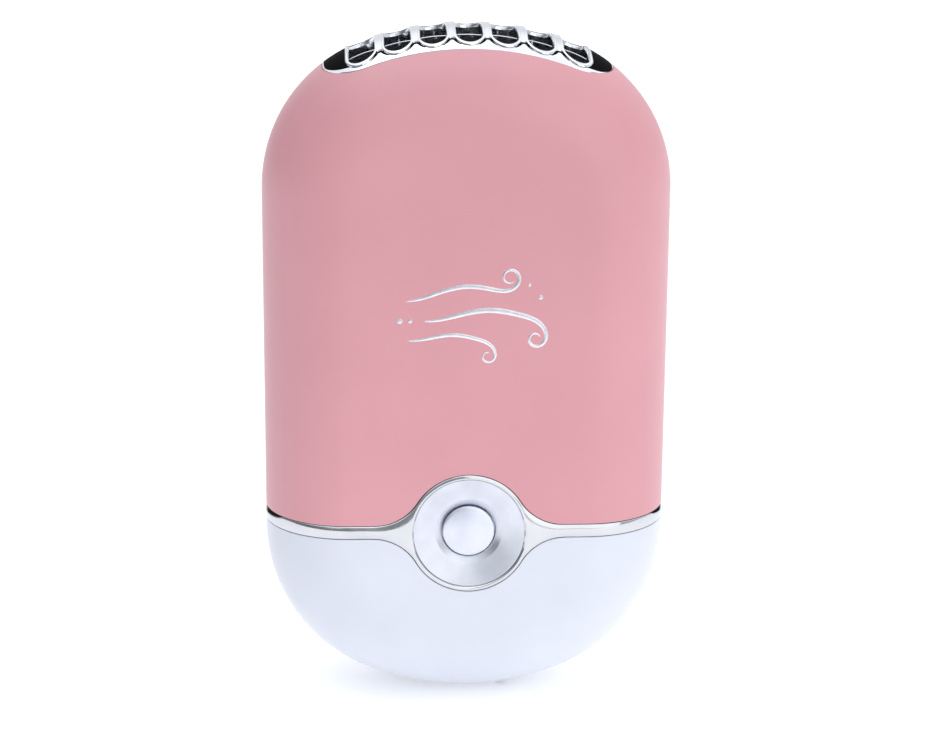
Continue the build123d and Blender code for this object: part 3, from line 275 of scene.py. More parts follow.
def make_materials():
    """One material for each slot that the CAD parts use, and two for forms that only this file has.
    Each is named for what it is made of, and its comment says what that gives the eye."""
    return {
        # Painted ABS with a silky matt coat: soft wide highlights, and grain only close up
        "pink_case": plastic("silk_matt_painted_abs", "D9999F", "DD9DA3", (0.36, 0.46), 0.4, 0.0012, 22.0,
                             Coat_Weight=0.12, Coat_Roughness=0.28),
        # ABS from a polished mould: cool white with a satin gloss
        "white_case": plastic("gloss_white_abs", "DADDE6", "E0E3EB", (0.28, 0.32), 0.6, 0.001, 18.0,
                              Coat_Weight=0.2, Coat_Roughness=0.15),
        # Bright chrome plating on moulded ABS: a clear mirror with a very slight orange peel
        "chrome_trim": metal("bright_chrome_plate", "CDCED0", "D7D8D9", (0.06, 0.12), 1.2, 0.0015, 9.0),
        # Nickel plate on a spun dish: fine rings, and a soft fan of light
        "satin_chrome": spun_metal(),
        # Satin-plated button cap: smooth, hardly any grain
        "button_face": metal("satin_plated_button", "D6DAE4", "E0E3EC", (0.28, 0.36), 0.25, 0.002, 4.0),
        # Chrome-plated outlet grille, a little softer than the trim
        "grille_chrome": metal("chrome_plated_grille", "EAEBEF", "F2F3F5", (0.08, 0.16), 1.0, 0.002, 8.0),
        # ABS with a spark-eroded texture, as on a louvre
        "intake_plastic": plastic("textured_white_abs", "DDE1EC", "E4E7F0", (0.4, 0.55), 0.3, 0.015, 12.0),
        # Painted shade laid in joints and hollows, as between two plated pieces: soot-black, quite matt
        "gap_shadow": plastic("painted_joint_shade", "050506", "0A0A0B", (0.7, 0.85), 0.2, 0.002, 1.5,
                              Specular_IOR_Level=0.05),
        # Aluminium foil pressed into the paint by a hot stamp: bright, with tiny pinches
        "stamped_foil": metal("hot_stamped_foil", "E3E5EA", "F0F1F4", (0.17, 0.26), 0.35, 0.004, 1.5),
        # Open-cell foam, nearly black: matt, with round pores
        "sponge_foam": foam("open_cell_foam", "14161A", "2C2F35", 0.7),
        # Polypropylene of the air duct: waxy dark grey
        "duct_plastic": plastic("waxy_polypropylene", "26282C", "303338", (0.4, 0.55), 0.5, 0.01, 6.0),
        # Glass-filled nylon: mid grey with short fibre marks
        "impeller_plastic": plastic("glass_filled_nylon", "3A3D42", "4A4E54", (0.45, 0.6), 0.2, 0.012, 2.5),
        # Ground steel: plain grey, with marks drawn out from front to back
        "steel": metal("ground_steel", "8E9196", "A5A8AD", (0.28, 0.38), 0.15, 0.003, 3.0, (1, 0.1, 1)),
        # Bonded ferrite magnet: dull, granular and almost black
        "ferrite": plastic("bonded_ferrite", "1B1B1D", "2A2A2C", (0.6, 0.75), 0.12, 0.01, 1.5),
        # Turned brass: warm yellow, with close fine rings
        "brass": metal("turned_brass", "B08D4A", "C7A45E", (0.18, 0.26), 0.12, 0.003, 2.0, (1, 8, 1)),
        # Silicon steel: bright sheets, with painted shade as dark lines between them
        "lamination": striped_metal("stacked_silicon_steel", "3C3E42", "8B8E93", 0.35, 1, (0.3, 0.45)),
        # Enamelled wire: close round turns with a warm gloss, and painted shade in the grooves between them
        "copper_wire": striped_metal("enamelled_copper", "6E2E12", "C7743C", 0.22, 1, (0.28, 0.38), 0.8),
        # Fibreglass board: green mask, raised over its tracks
        "board_green": board_material(),
        # Epoxy chip bodies: matt, with fine filler grain
        "chip_black": plastic("epoxy_chip", "17181A", "222326", (0.55, 0.7), 0.08, 0.006, 1.2),
        # Black nylon: dull, with a slight grain
        "switch_body": plastic("black_nylon_switch", "1C1D20", "292A2E", (0.4, 0.55), 0.15, 0.008, 1.5),
        # Tinned steel: a soft grey mirror with faint upright marks
        "usb_metal": metal("tinned_steel_shell", "A6A9AE", "BCBFC4", (0.16, 0.26), 0.2, 0.003, 2.0,
                           (1, 1, 0.1)),
        # Clear polycarbonate: the lamp shows through it, a little milky
        "light_clear": clear_plastic(),
        # Silicone lens of the lamp: yellow phosphor under a soft skin
        "lamp_yellow": plastic("phosphor_silicone", "D9B63A", "EACB55", (0.35, 0.5), 0.15, 0.006, 0.8),
        # Heat-shrink film round the cell: thin, tight and slightly rippled
        "cell_wrap": plastic("heat_shrink_film", "1E5A9C", "2669AE", (0.16, 0.26), 1.1, 0.03, 7.0,
                             Coat_Weight=0.3, Coat_Roughness=0.1),
        # Closed-cell foam: grey and matt, with small pores
        "foam_pad": foam("closed_cell_pad", "3A3B3E", "55575B", 0.35),
        # Rolled nickel: warm grey with a soft gloss
        "nickel_tab": metal("nickel_strip", "B9B6AC", "CBC8BE", (0.18, 0.26), 0.25, 0.003, 1.5, (1, 0.1, 1)),
        # Silicone wire jacket: soft sheen with slight ripple
        "wire_jacket": plastic("silicone_jacket", "A32A26", "B63430", (0.35, 0.5), 0.4, 0.01, 3.0),
        # Zinc plate: cool grey with a soft gloss
        "screw_steel": metal("zinc_plated_screw", "9DA1A8", "B4B8BE", (0.16, 0.26), 0.2, 0.004, 1.0),
    }


MATERIALS = make_materials()
for cad_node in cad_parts.values():
    for entry in cad_node.material_slots:
        entry.material = MATERIALS[entry.material.name]


def packed(*parts):
    """Numbers, or grids of them, as the parts of one grid of places."""
    return np.stack(np.broadcast_arrays(*parts), axis=-1)


def headed(angle):
    """The unit way in the plane at each bearing in radians."""
    return packed(np.cos(angle), np.sin(angle))


def arc_pair(crown_r, shoulder_r):
    """The crown's and the shoulder's circle, moved in to the edge of the flat face. The crown's centre is
    on the middle line, and the shoulder touches the crown and the straight side."""
    crown_z = HALF_H - crown_r
    shoulder_x = HALF_W - shoulder_r
    shoulder_z = crown_z + math.sqrt((crown_r - shoulder_r) ** 2 - shoulder_x ** 2)
    turn = math.atan2(shoulder_z - crown_z, shoulder_x)
    return crown_z, crown_r - EDGE_R, shoulder_x, shoulder_z, shoulder_r - EDGE_R, turn


TOP_ARCS = arc_pair(TOP_CROWN_R, TOP_SHOULDER_R)
BOTTOM_ARCS = arc_pair(BOTTOM_CROWN_R, BOTTOM_SHOULDER_R)
EDGE_LINE = ROLL + SIDE_FLAT / 2
SIDE_X = HALF_W - EDGE_R + EDGE_LINE
SHELL_END = SIDE_X - SEAM


def way_out(x, z):
    """How far points lie outside the flat face, and the unit way out: level beside the straight sides,
    and away from the centre round the arcs."""
    arcs = [np.where(z >= 0, top, low) for top, low in zip(TOP_ARCS, BOTTOM_ARCS)]
    crown_z, crown_r, shoulder_x, shoulder_z, shoulder_r, turn = arcs
    along, up = np.abs(x), np.abs(z)
    crown_len = np.maximum(np.hypot(along, up - crown_z), 1e-9)
    shoulder_len = np.maximum(np.hypot(along - shoulder_x, up - shoulder_z), 1e-9)
    on_crown = np.arctan2(up - crown_z, along) > turn
    beside = up < shoulder_z
    ox = np.where(on_crown, along / crown_len, (along - shoulder_x) / shoulder_len)
    oz = np.where(on_crown, (up - crown_z) / crown_len, (up - shoulder_z) / shoulder_len)
    ox, oz = np.where(beside, 1.0, ox), np.where(beside, 0.0, oz)
    far = np.where(on_crown, crown_len - crown_r, shoulder_len - shoulder_r)
    far = np.where(beside, along - (HALF_W - EDGE_R), far)
    return far, np.sign(x) * ox, np.where(z >= 0, oz, -oz)


def wrap(flat, rise=0.0, side=-1):
    """Rolls places of the case's unrolled face onto the case, raised by rise. A distance past the flat
    face becomes an angle round the edge, then a straight stretch."""
    x, z = flat[..., 0], flat[..., 1]
    far, ox, oz = way_out(x, z)
    past = np.maximum(far, 0)
    angle = np.minimum(past / EDGE_R, math.pi / 2)
    radius = EDGE_R + rise
    out = radius * np.sin(angle)
    deep = SIDE_FLAT / 2 + radius * np.cos(angle) - np.maximum(past - ROLL, 0)
    return packed(x + ox * (out - past), side * deep, z + oz * (out - past))


def unroll_end(plan, arcs=TOP_ARCS):
    """The unrolled places of points of the case's top or bottom given in plan (x, y): y gives the angle
    round the edge, and x the bearing on the crown or the shoulder."""
    crown_z, crown_r, shoulder_x, shoulder_z, shoulder_r, turn = arcs
    x, y = plan[..., 0], plan[..., 1]
    over = np.abs(y) - SIDE_FLAT / 2
    angle = np.arccos(np.clip(over / EDGE_R, 0, 1))
    out = EDGE_R * np.sin(angle)
    past = EDGE_R * angle + np.maximum(-over, 0)
    along = np.abs(x)
    on_crown = along < (crown_r + out) * math.cos(turn)
    base = np.where(on_crown, crown_r, shoulder_r)
    from_x = np.where(on_crown, 0.0, shoulder_x)
    cos = np.clip((along - from_x) / (base + out), -1, 1)
    sin = np.sqrt(1 - cos ** 2)
    flat_x = from_x + (base + past) * cos
    flat_z = np.where(on_crown, crown_z, shoulder_z) + (base + past) * sin
    up = 1 if arcs is TOP_ARCS else -1
    return packed(np.sign(x) * flat_x, up * flat_z)


def on_end(plan, rise):
    """Points on the case's top, given in plan and raised square to its surface."""
    return wrap(unroll_end(plan), rise, np.where(plan[..., 1] < 0, -1, 1))


# Where the outlet's outline meets the parting line, unrolled
OUTLET_END = unroll_end(np.array([OUTLET_L / 2 + OUTLET_GAP, 0.0]))


def joined(*pieces):
    """Pieces of one line end to end, each shared end kept once."""
    return np.concatenate([pieces[0]] + [piece[1:] for piece in pieces[1:]])


def stepped(stops, counts):
    """Values from the first stop to the last, with so many even ones from each stop to the next."""
    return joined(*[np.linspace(a, b, n) for a, b, n in zip(stops[:-1], stops[1:], counts)])


def both_sides(half):
    """A line from the middle to the right, led up to by its mirror image."""
    return joined(half[::-1] * MIRROR, half)


def run(start, end, count):
    """Even points on a straight run, both ends included."""
    return np.linspace(np.array(start, float), np.array(end, float), count)


def arc(centre, radius, start, end, count):
    """Points on a circle between two bearings in degrees."""
    return np.array(centre) + radius * headed(np.radians(np.linspace(start, end, count)))


def lengths(line):
    """The distance along a line to each of its points."""
    return np.concatenate([[0], np.cumsum(np.hypot(*np.diff(line, axis=0).T))])


def spread(line, count):
    """A line's points moved so that they are evenly spaced along its length."""
    length = lengths(line)
    even = np.linspace(0, length[-1], count)
    return packed(*[np.interp(even, length, part) for part in line.T])


def ruled(low, high, rows):
    """A grid of straight columns between two lines with as many points."""
    share = np.linspace(0, 1, rows)[:, None, None]
    return low[None] * (1 - share) + high[None] * share


def coons(low, high, left, right, share):
    """A grid inside four border lines: both ruled grids added, less the one between the corners.
    share is how far along the low line each of its points lies, from 0 to 1."""
    u = share[None, :, None]
    v = np.linspace(0, 1, len(left))[:, None, None]
    across = left[:, None] * (1 - u) + right[:, None] * u
    upward = low[None] * (1 - v) + high[None] * v
    corners = (low[0] * (1 - u) + low[-1] * u) * (1 - v) + (high[0] * (1 - u) + high[-1] * u) * v
    return across + upward - corners


def quads(rows, cols, start=0, loop=False, flip=False):
    """Four-sided faces over a grid of points, closed round the columns where loop is set."""
    index = start + np.arange(rows * cols).reshape(rows, cols)
    if loop:
        index = np.concatenate([index, index[:, :1]], axis=1)
    faces = packed(index[:-1, :-1], index[:-1, 1:], index[1:, 1:], index[1:, :-1]).reshape(-1, 4)
    return faces[:, ::-1] if flip else faces


def sheet_of(grid, loop=False, flip=False):
    """A grid of places as a piece of mesh."""
    return grid.reshape(-1, 3), quads(grid.shape[0], grid.shape[1], 0, loop, flip)


def pierced(grid, holes, loop=False):
    """A flat grid with round holes. The cells near each hole are taken out as one block, and rings
    lead from the block's border to the hole. A hole is its centre, its radius and the block's reach."""
    rings = 6
    rows, cols = grid.shape[:2]
    count = rows * cols
    index = np.arange(count).reshape(rows, cols)
    flat = grid.reshape(-1, 2)
    points, faces = [flat], quads(rows, cols, 0, loop)
    for centre, radius, reach in holes:
        at_row, at_col = np.where(np.hypot(grid[..., 0] - centre[0], grid[..., 1] - centre[1]) < reach)
        r0, r1, c0, c1 = at_row.min(), at_row.max(), at_col.min(), at_col.max()
        cell_row, cell_col = faces.min(axis=1) // cols, faces.min(axis=1) % cols
        block = (cell_row >= r0) & (cell_row < r1) & (cell_col >= c0) & (cell_col < c1)
        faces = faces[~(block & (faces.max(axis=1) < rows * cols))]
        border = np.concatenate([
            index[r0, c0:c1], index[r0:r1, c1], index[r1, c1:c0:-1], index[r1:r0:-1, c0],
        ])
        rim = flat[border]
        edge = np.array(centre) + radius * headed(np.arctan2(rim[:, 1] - centre[1], rim[:, 0] - centre[0]))
        points.append(ruled(rim, edge, rings + 1)[1:].reshape(-1, 2))
        inner = count + np.arange(len(border))
        first = packed(border, np.roll(border, -1), np.roll(inner, -1), inner)
        faces = np.concatenate([faces, first, quads(rings, len(border), count, True)])
        count += rings * len(border)
    return np.concatenate(points), faces


def turned(profile, centre, count):
    """A profile of (radius, y) carried round an axis along Y through centre (x, z), in count steps."""
    angle = np.radians(np.linspace(0, 360, count, endpoint=False))
    radius, y = profile[:, :1], profile[:, 1:]
    grid = packed(centre[0] + radius * np.cos(angle), y, centre[1] + radius * np.sin(angle))
    return sheet_of(grid, loop=True)


def eased(corners, radius, steps):
    """A line with rounded corners: each becomes a quadratic curve between the points a radius, or half
    the side where that is less, before and after it. Its ends stay sharp."""
    c = np.array(corners, float)
    before, after = np.roll(c, 1, axis=0) - c, np.roll(c, -1, axis=0) - c
    reach = np.broadcast_to(np.array(radius, float), (len(c),))
    long_b, long_a = np.maximum(np.hypot(*before.T), 1e-9), np.maximum(np.hypot(*after.T), 1e-9)
    cut_b, cut_a = np.minimum(reach, long_b / 2) / long_b, np.minimum(reach, long_a / 2) / long_a
    t = np.linspace(0, 1, steps)[None, :, None]
    start = (c + before * cut_b[:, None])[:, None]
    end = (c + after * cut_a[:, None])[:, None]
    curve = start * (1 - t) ** 2 + 2 * t * (1 - t) * c[:, None] + end * t ** 2
    return np.concatenate([c[:1], curve[1:-1].reshape(-1, 2), c[-1:]])


def put(name, parts, body, slot, nodes=(), wall=0.0, bevel=0.0, sharp=35.0, closed=False):
    """Makes one piece of several (points, faces) parts and lets it ride on its body.
    Points that the parts share are merged. wall thickens it inwards and bevel rounds its edges. closed
    turns a closed piece's faces outwards, and edges over sharp degrees stay sharp."""
    starts = np.cumsum([0] + [len(points) for points, _ in parts])
    mesh = bpy.data.meshes.new(name)
    points = np.concatenate([points for points, _ in parts]) * MM
    faces = [(faces + start).tolist() for (_, faces), start in zip(parts, starts)]
    mesh.from_pydata(points.tolist(), [], [face for some in faces for face in some])
    mesh.materials.append(MATERIALS[slot])
    shape = bmesh.new()
    shape.from_mesh(mesh)
    bmesh.ops.remove_doubles(shape, verts=shape.verts, dist=0.003 * MM)
    bmesh.ops.dissolve_degenerate(shape, edges=shape.edges, dist=0.0005 * MM)
    if closed:
        bmesh.ops.recalc_face_normals(shape, faces=shape.faces)
    shape.to_mesh(mesh)
    shape.free()
    mesh.shade_smooth()
    mesh.set_sharp_from_angle(angle=math.radians(sharp))
    piece = bpy.data.objects.new(name, mesh)
    bpy.context.scene.collection.objects.link(piece)
    if wall:
        thick = piece.modifiers.new("wall", "SOLIDIFY")
        thick.thickness = wall * MM
        thick.offset = -1.0
        thick.use_even_offset = True
    if bevel:
        edge = piece.modifiers.new("edges", "BEVEL")
        edge.width = bevel * MM
        edge.segments = 3
        edge.limit_method = "ANGLE"
        edge.angle_limit = math.radians(55)
        edge.harden_normals = True
    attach(piece, body)
    if nodes:
        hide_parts(*nodes)
    return piece


def outlet_half(grow=OUTLET_GAP):
    """Half of the outlet's outline in plan, from its left end round the front to its right end."""
    count = 40
    half_l, half_w, r = OUTLET_L / 2 + grow, OUTLET_W / 2 + grow, OUTLET_CORNER + grow
    left, right, front = -half_l + r, half_l - r, -half_w + r
    return joined(
        run((-half_l, 0), (-half_l, front), 8), arc((left, front), r, 180, 270, count),
        run((left, -half_w), (right, -half_w), 2 * count), arc((right, front), r, -90, 0, count),
        run((half_l, front), (half_l, 0), 8),
    )


def parting_arc(arcs, up, start, count):
    """The unrolled parting line round the right shoulder, from a bearing about its centre to level."""
    line = arc(arcs[2:4], arcs[4] + EDGE_LINE - SEAM, start, 0, count)
    return line * np.array([1, up])


def shell_top():
    """The upper border of a main shell, unrolled: parting line, half of the outlet, parting line."""
    mouth = unroll_end(outlet_half())
    out_x, out_z = mouth[-1] - TOP_ARCS[2:4]
    right = parting_arc(TOP_ARCS, 1, math.degrees(math.atan2(out_z, out_x)), 50)
    right[0] = mouth[-1]
    return joined(right[::-1] * MIRROR, mouth, right)


def band_edge(grow, up, count=40):
    """One edge of the band on the front, grown by grow: straight, flare, round the eye, flare, straight.
    Each flare is a circle that touches both the straight edge and the eye's circle."""
    edge = BAND_Z + up * (BAND_H / 2 + grow)
    eye, flare = EYE_R + grow, FLARE_R - grow
    flare_z = edge + up * flare
    flare_x = math.sqrt((eye + flare) ** 2 - (flare_z - EYE_Z) ** 2)
    bearing = math.degrees(math.atan2(up * (flare_z - EYE_Z), flare_x))
    top = arc((0, 0), eye, 90, bearing, count) * np.array([1, up]) + np.array([0, EYE_Z])
    bend = arc((flare_x, 0), flare, 180 + bearing, 270, count) * np.array([1, up]) + np.array([0, flare_z])
    return both_sides(joined(top, bend, run((flare_x, edge), (SHELL_END, edge), count)))


def side_drop(x):
    """How far the band's upper edge falls away from the shell round the case's sides: as a root,
    from unrolled place first on, over reach millimetres."""
    full, first, reach = 1.15, 39.0, 8.0
    return full * np.sqrt(np.clip((np.abs(x) - first) / reach, 0, 1))


def columns(line, x):
    """A border line sampled where it crosses the given values of x."""
    return packed(x, np.interp(x, line[:, 0], line[:, 1]))


def make_front_shell():
    """The main shell's front: upright columns between the band's edge and the rim above,
    on the unrolled face, wrapped onto the case."""
    x = stepped([-SHELL_END, -OUTLET_END[0], OUTLET_END[0], SHELL_END], (40, 161, 40))
    grid = ruled(columns(band_edge(BAND_GAP, 1), x), columns(shell_top(), x), 110)
    put("front_shell_skin", [sheet_of(wrap(grid))], "case", "pink_case", ["front_shell"],
        wall=WALL, bevel=EDGE_ROUND)


def make_back_shell():
    """The main shell's back: rays from the intake's hole to the rim, wrapped onto the case. They lie
    closer near the outlet's ends. The two screw holes are pierced through the flat face."""
    rim = shell_top()
    low_left, low_right = (-SHELL_END, SHELL_EDGE_Z), (SHELL_END, SHELL_EDGE_Z)
    border = joined(
        rim[::-1], run(rim[0], low_left, 60), run(low_left, low_right, 200), run(low_right, rim[-1], 60),
    )
    bearing = np.degrees(np.arctan2(border[:, 1] - BLOWER_Z, border[:, 0]))
    bearing = np.where(bearing < -90, bearing + 360, bearing)
    order = np.argsort(bearing)
    distance = np.hypot(border[:, 0], border[:, 1] - BLOWER_Z)
    side = math.degrees(math.atan2(SHELL_EDGE_Z - BLOWER_Z, SHELL_END))
    corner = math.degrees(math.atan2(OUTLET_END[1] - BLOWER_Z, OUTLET_END[0]))
    near = 2.5
    stops = [-90, side, corner - near, corner + near]
    stops = stops + [180 - stop for stop in stops[::-1]]
    turns = stepped(stops, (50, 90, 60, 80, 60, 90, 50))[:-1][::-1]
    reach = np.interp(turns, bearing[order], distance[order])
    way, centre = headed(np.radians(turns)), np.array([0, BLOWER_Z])
    grid = ruled(centre + way * INTAKE_HOLE_R, centre + way * reach[:, None], 56)
    flat, faces = pierced(grid, [(place, SCREW_HOLE_R, 4.2) for place in UPPER_SCREWS], loop=True)
    put("back_shell_skin", [(wrap(flat, 0, 1), faces[:, ::-1])], "case", "pink_case", ["back_shell"],
        wall=WALL, bevel=EDGE_ROUND)


def cap_border():
    """The lower border of a cap, unrolled, in three runs: left side, bottom and right side. In the
    middle of the bottom is half of the USB opening."""
    crown_z, crown_r, _, _, _, turn = BOTTOM_ARCS
    switch = math.degrees(turn)
    crown = arc((0, crown_z), crown_r + EDGE_LINE - SEAM, 90, switch, 30) * np.array([1, -1])
    half = joined(crown, parting_arc(BOTTOM_ARCS, -1, switch, 120))
    half = joined(half, run(half[-1], (SHELL_END, CAP_EDGE_Z), 4))
    length = lengths(half)
    split = int(np.searchsorted(length, 0.52 * length[-1]))
    bottom_right, right = half[:split + 1], half[split:]
    width, r, base = USB_HALF_W, USB_CORNER, bottom_right[0, 1]
    level = base + USB_HALF_H - SEAM
    notch = joined(
        run((0, level), (width - r, level), 8), arc((width - r, level - r), r, 90, 0, 8),
        run((width, level - r), (width, base), 6),
    )
    outside = bottom_right[bottom_right[:, 0] > width]
    return right[::-1] * MIRROR, both_sides(np.concatenate([notch, outside])), right


def make_cap(name, side, top, holes):
    """One half of the lower cap: a grid inside the band's edge and the parting line, wrapped on,
    with round holes pierced through it."""
    fine = 2000
    left, bottom, right = cap_border()
    share = lengths(bottom) / lengths(bottom)[-1]
    upper = spread(top, fine + 1)[np.round(share * fine).astype(int)]
    grid = coons(bottom, upper, spread(left[::-1], 61), spread(right, 61), share)
    flat, faces = pierced(grid, holes)
    if side > 0:
        faces = faces[:, ::-1]
    put(f"{name}_skin", [(wrap(flat, 0, side), faces)], "case", "white_case", [name],
        wall=WALL, bevel=EDGE_ROUND)


def make_caps():
    """Both halves of the lower cap: the light's hole in the front one, two screw holes in the back."""
    light = unroll_end(np.array([LIGHT_X, LIGHT_Y]), BOTTOM_ARCS)
    make_cap("front_cap", -1, band_edge(BAND_GAP, -1), [(light, LIGHT_HOLE_R, 1.9)])
    straight = run((-SHELL_END, CAP_EDGE_Z), (SHELL_END, CAP_EDGE_Z), 200)
    make_cap("back_cap", 1, straight, [(place, SCREW_HOLE_R, 4.0) for place in LOWER_SCREWS])


def make_screw_wells():
    """Bosses in the back: a well down to the screw's seat, and a bored pillar below it."""
    bore_r, boss_r = 1.25, 3.5
    foot_y, shoulder_y, top_y = 0.1, 15.8, 17.0
    profile = np.array([
        (bore_r, foot_y), (bore_r, SCREW_SEAT_Y), (SCREW_HOLE_R, SCREW_SEAT_Y), (SCREW_HOLE_R, top_y),
        (boss_r, shoulder_y), (boss_r, foot_y), (bore_r, foot_y),
    ])
    for name, slot, places in (("upper", "pink_case", UPPER_SCREWS), ("lower", "white_case", LOWER_SCREWS)):
        wells = [turned(profile, place, 64) for place in places]
        put(f"{name}_screw_wells", wells, "case", slot, closed=True)


def make_case_screws():
    """Pan-head screws: a domed head with a cross recess, as a height over rings and bearings,
    closed by a turned skirt and shank. The recess's walls slope, and its floor rises outwards."""
    head_r, head_h, shank_r, length, tip = 2.1, 1.5, 1.1, 13.0, 1.2
    arm_l, arm_half, slope, deep = 1.25, 0.28, 0.12, 0.75
    radius = stepped([0, 1.5, head_r], (46, 8))[:, None]
    angle = np.radians(np.arange(0, 360, 2.5))[None]
    x, z = radius * np.cos(angle), radius * np.sin(angle)
    fall, edge_fall, edge_w = 0.5, 0.35, 0.5
    edge = np.clip((radius - head_r + edge_w) / edge_w, 0, 1)
    dome = head_h - fall * (radius / head_r) ** 2 - edge_fall * edge ** 2
    past_end = np.maximum(np.abs(x), np.abs(z)) - arm_l
    past_side = np.minimum(np.abs(x), np.abs(z)) - arm_half
    inside = np.clip(-np.maximum(past_end, past_side) / slope, 0, 1)
    height = dome - deep * inside * (1 - 0.25 * radius)
    top = packed(x, SCREW_SEAT_Y + height, z)
    body = np.array([
        (head_r, SCREW_SEAT_Y + dome[-1, 0]), (head_r, SCREW_SEAT_Y), (shank_r, SCREW_SEAT_Y),
        (shank_r, SCREW_SEAT_Y - length + tip), (0.0, SCREW_SEAT_Y - length),
    ])
    parts = []
    for sx, sz in UPPER_SCREWS + LOWER_SCREWS:
        parts.append(sheet_of(top + np.array([sx, 0, sz]), loop=True))
        parts.append(turned(body, (sx, sz), 144))
    put("case_screw_set", parts, "case", "screw_steel", ["case_screws"], closed=True)


def swell(distance, reach):
    """A quarter-round rise: 0 at an edge, and 1 with no slope from reach millimetres on."""
    return 1 - (1 - np.clip(distance / reach, 0, 1)) ** 2


def from_band_edge(x, z, up):
    """The distance inwards from the band's upper or lower edge on the front: from its straight part,
    from the flare's circle, or, nearer the middle than the line between the centres, from the eye's."""
    along = np.abs(x)
    flare_z = BAND_Z + up * (BAND_H / 2 + FLARE_R)
    flare_x = math.sqrt((EYE_R + FLARE_R) ** 2 - (flare_z - EYE_Z) ** 2)
    level = up * (z - EYE_Z)
    by_eye = level * flare_x > along * up * (flare_z - EYE_Z)
    bend = np.where(by_eye, EYE_R - np.hypot(x, level), np.hypot(along - flare_x, z - flare_z) - FLARE_R)
    height = BAND_H / 2 - (side_drop(x) if up > 0 else 0)
    return np.where(along > flare_x, height - up * (z - BAND_Z), bend)


def band_rise(x, z):
    """The band's height over the case: a narrow round at its edges, and a wide crown that leans
    further over towards the eye, where near grows to 1, and falls again at the eye's hole."""
    low, high, extra = 0.08, 0.17, 0.13
    edge_round, hole_round, lean, lean_reach = 0.2, 0.45, 1.75, 9.0
    upper, lower = from_band_edge(x, z, 1), from_band_edge(x, z, -1)
    hole = np.maximum(np.hypot(x, z - EYE_Z) - EYE_HOLE_R, 0)
    near = np.clip(1 - (np.abs(x) - EYE_R) / lean_reach, 0, 1) ** 2
    narrow = np.minimum(swell(upper, edge_round), swell(lower, edge_round)) * swell(hole, edge_round)
    crown = swell(upper, BAND_H / 2 + lean * near) * swell(lower, 1.0) * swell(hole, hole_round)
    return low * narrow + (high + extra * near) * crown


def band_strip(up):
    """The band's upper or lower half on the front, from its edge to its middle line,
    and to the eye's hole where the middle line meets it. The wall under each edge reaches inwards."""
    count, lead_l, eye_tuck = 40, 4.5, 1.5
    edge = band_edge(0.0, up, count)
    if up > 0:
        edge[:, 1] -= side_drop(edge[:, 0])
    ring = arc((0, 0), EYE_HOLE_R, 90, 0, count) * np.array([1, up]) + np.array([0, EYE_Z])
    lead = run(ring[-1], (EYE_HOLE_R + lead_l, BAND_Z), count)
    straight = run(lead[-1], (SHELL_END, BAND_Z), (len(edge) + 1) // 2 - 2 * count + 2)
    middle = both_sides(joined(ring, lead, straight))
    near_edge = np.linspace(0, 0.09, 8) ** 1.3
    share = np.concatenate([[0], near_edge, 1 - np.cos(np.linspace(0.36, math.pi / 2, 24))])[:, None, None]
    grid = edge[None] * (1 - share) + middle[None] * share
    rise = band_rise(grid[..., 0], grid[..., 1])
    rise[0] = -BAND_TUCK
    on_eye = np.hypot(middle[:, 0], middle[:, 1] - EYE_Z) < EYE_HOLE_R + 0.01
    skirt = wrap(middle, np.where(on_eye, -eye_tuck, rise[-1]))
    return sheet_of(np.concatenate([wrap(grid, rise), skirt[None]]), flip=up > 0)


def band_back_strip(up):
    """Half of the band across the back: flush with the flat face, and proud round the case's sides,
    where it grows over reach millimetres."""
    reach = 8.0
    x = np.linspace(-SHELL_END, SHELL_END, 220)
    share = np.concatenate([[0], np.linspace(0, 0.16, 6), np.linspace(0.25, 1, 8)])
    half = BAND_H / 2 - (side_drop(x) if up > 0 else 0 * x)
    grid = packed(x, BAND_Z + up * half[None] * (1 - share[:, None]))
    past = np.clip((np.abs(x) - (HALF_W - EDGE_R)) / reach, 0, 1)[None]
    rise = band_rise(grid[..., 0], grid[..., 1]) * past ** 2
    rise[0] = -BAND_TUCK
    return sheet_of(wrap(grid, rise, 1), flip=up < 0)


def make_band_joints():
    """Strips of painted shade in the joints over and under the band, a little below the case's surface.
    Each laps under the band on one side, and under the shell or the cap on the other."""
    parts = []
    deep, lap, under = -0.22, 0.04, BAND_GAP + 0.12
    x = np.linspace(-SIDE_X, SIDE_X, 220)
    for up in (1, -1):
        inner, outer = band_edge(-lap, up), band_edge(under, up)
        level = BAND_Z + up * BAND_H / 2 + 0 * x
        if up > 0:
            inner[:, 1] -= side_drop(inner[:, 0])
            level -= side_drop(x)
        parts.append(sheet_of(wrap(np.stack([inner, outer]), deep), flip=up < 0))
        rows = [packed(x, level - up * lap), packed(x, BAND_Z + up * (BAND_H / 2 + under))]
        parts.append(sheet_of(wrap(np.stack(rows), deep, 1), flip=up > 0))
    put("band_joint_shade", parts, "case", "gap_shadow")


def make_parting_joint():
    """A strip of painted shade behind the joint between the front and the back halves, along both sides."""
    parts = []
    half_gap = 0.15
    top = shell_top()
    shell_side = joined(top[top[:, 0] >= OUTLET_END[0]], run(top[-1], (SHELL_END, BAND_Z), 40))
    _, bottom, right = cap_border()
    cap_side = joined(bottom[bottom[:, 0] > USB_HALF_W + 0.01], right)
    for side in (-1, 1):
        for line in (shell_side, cap_side):
            place = wrap(line * np.array([side, 1]), -half_gap)
            rows = [place * np.array([1, 0, 1]) + np.array([0, y, 0]) for y in (-half_gap, half_gap)]
            parts.append(sheet_of(np.stack(rows), flip=side > 0))
    put("parting_joint_shade", parts, "case", "gap_shadow")


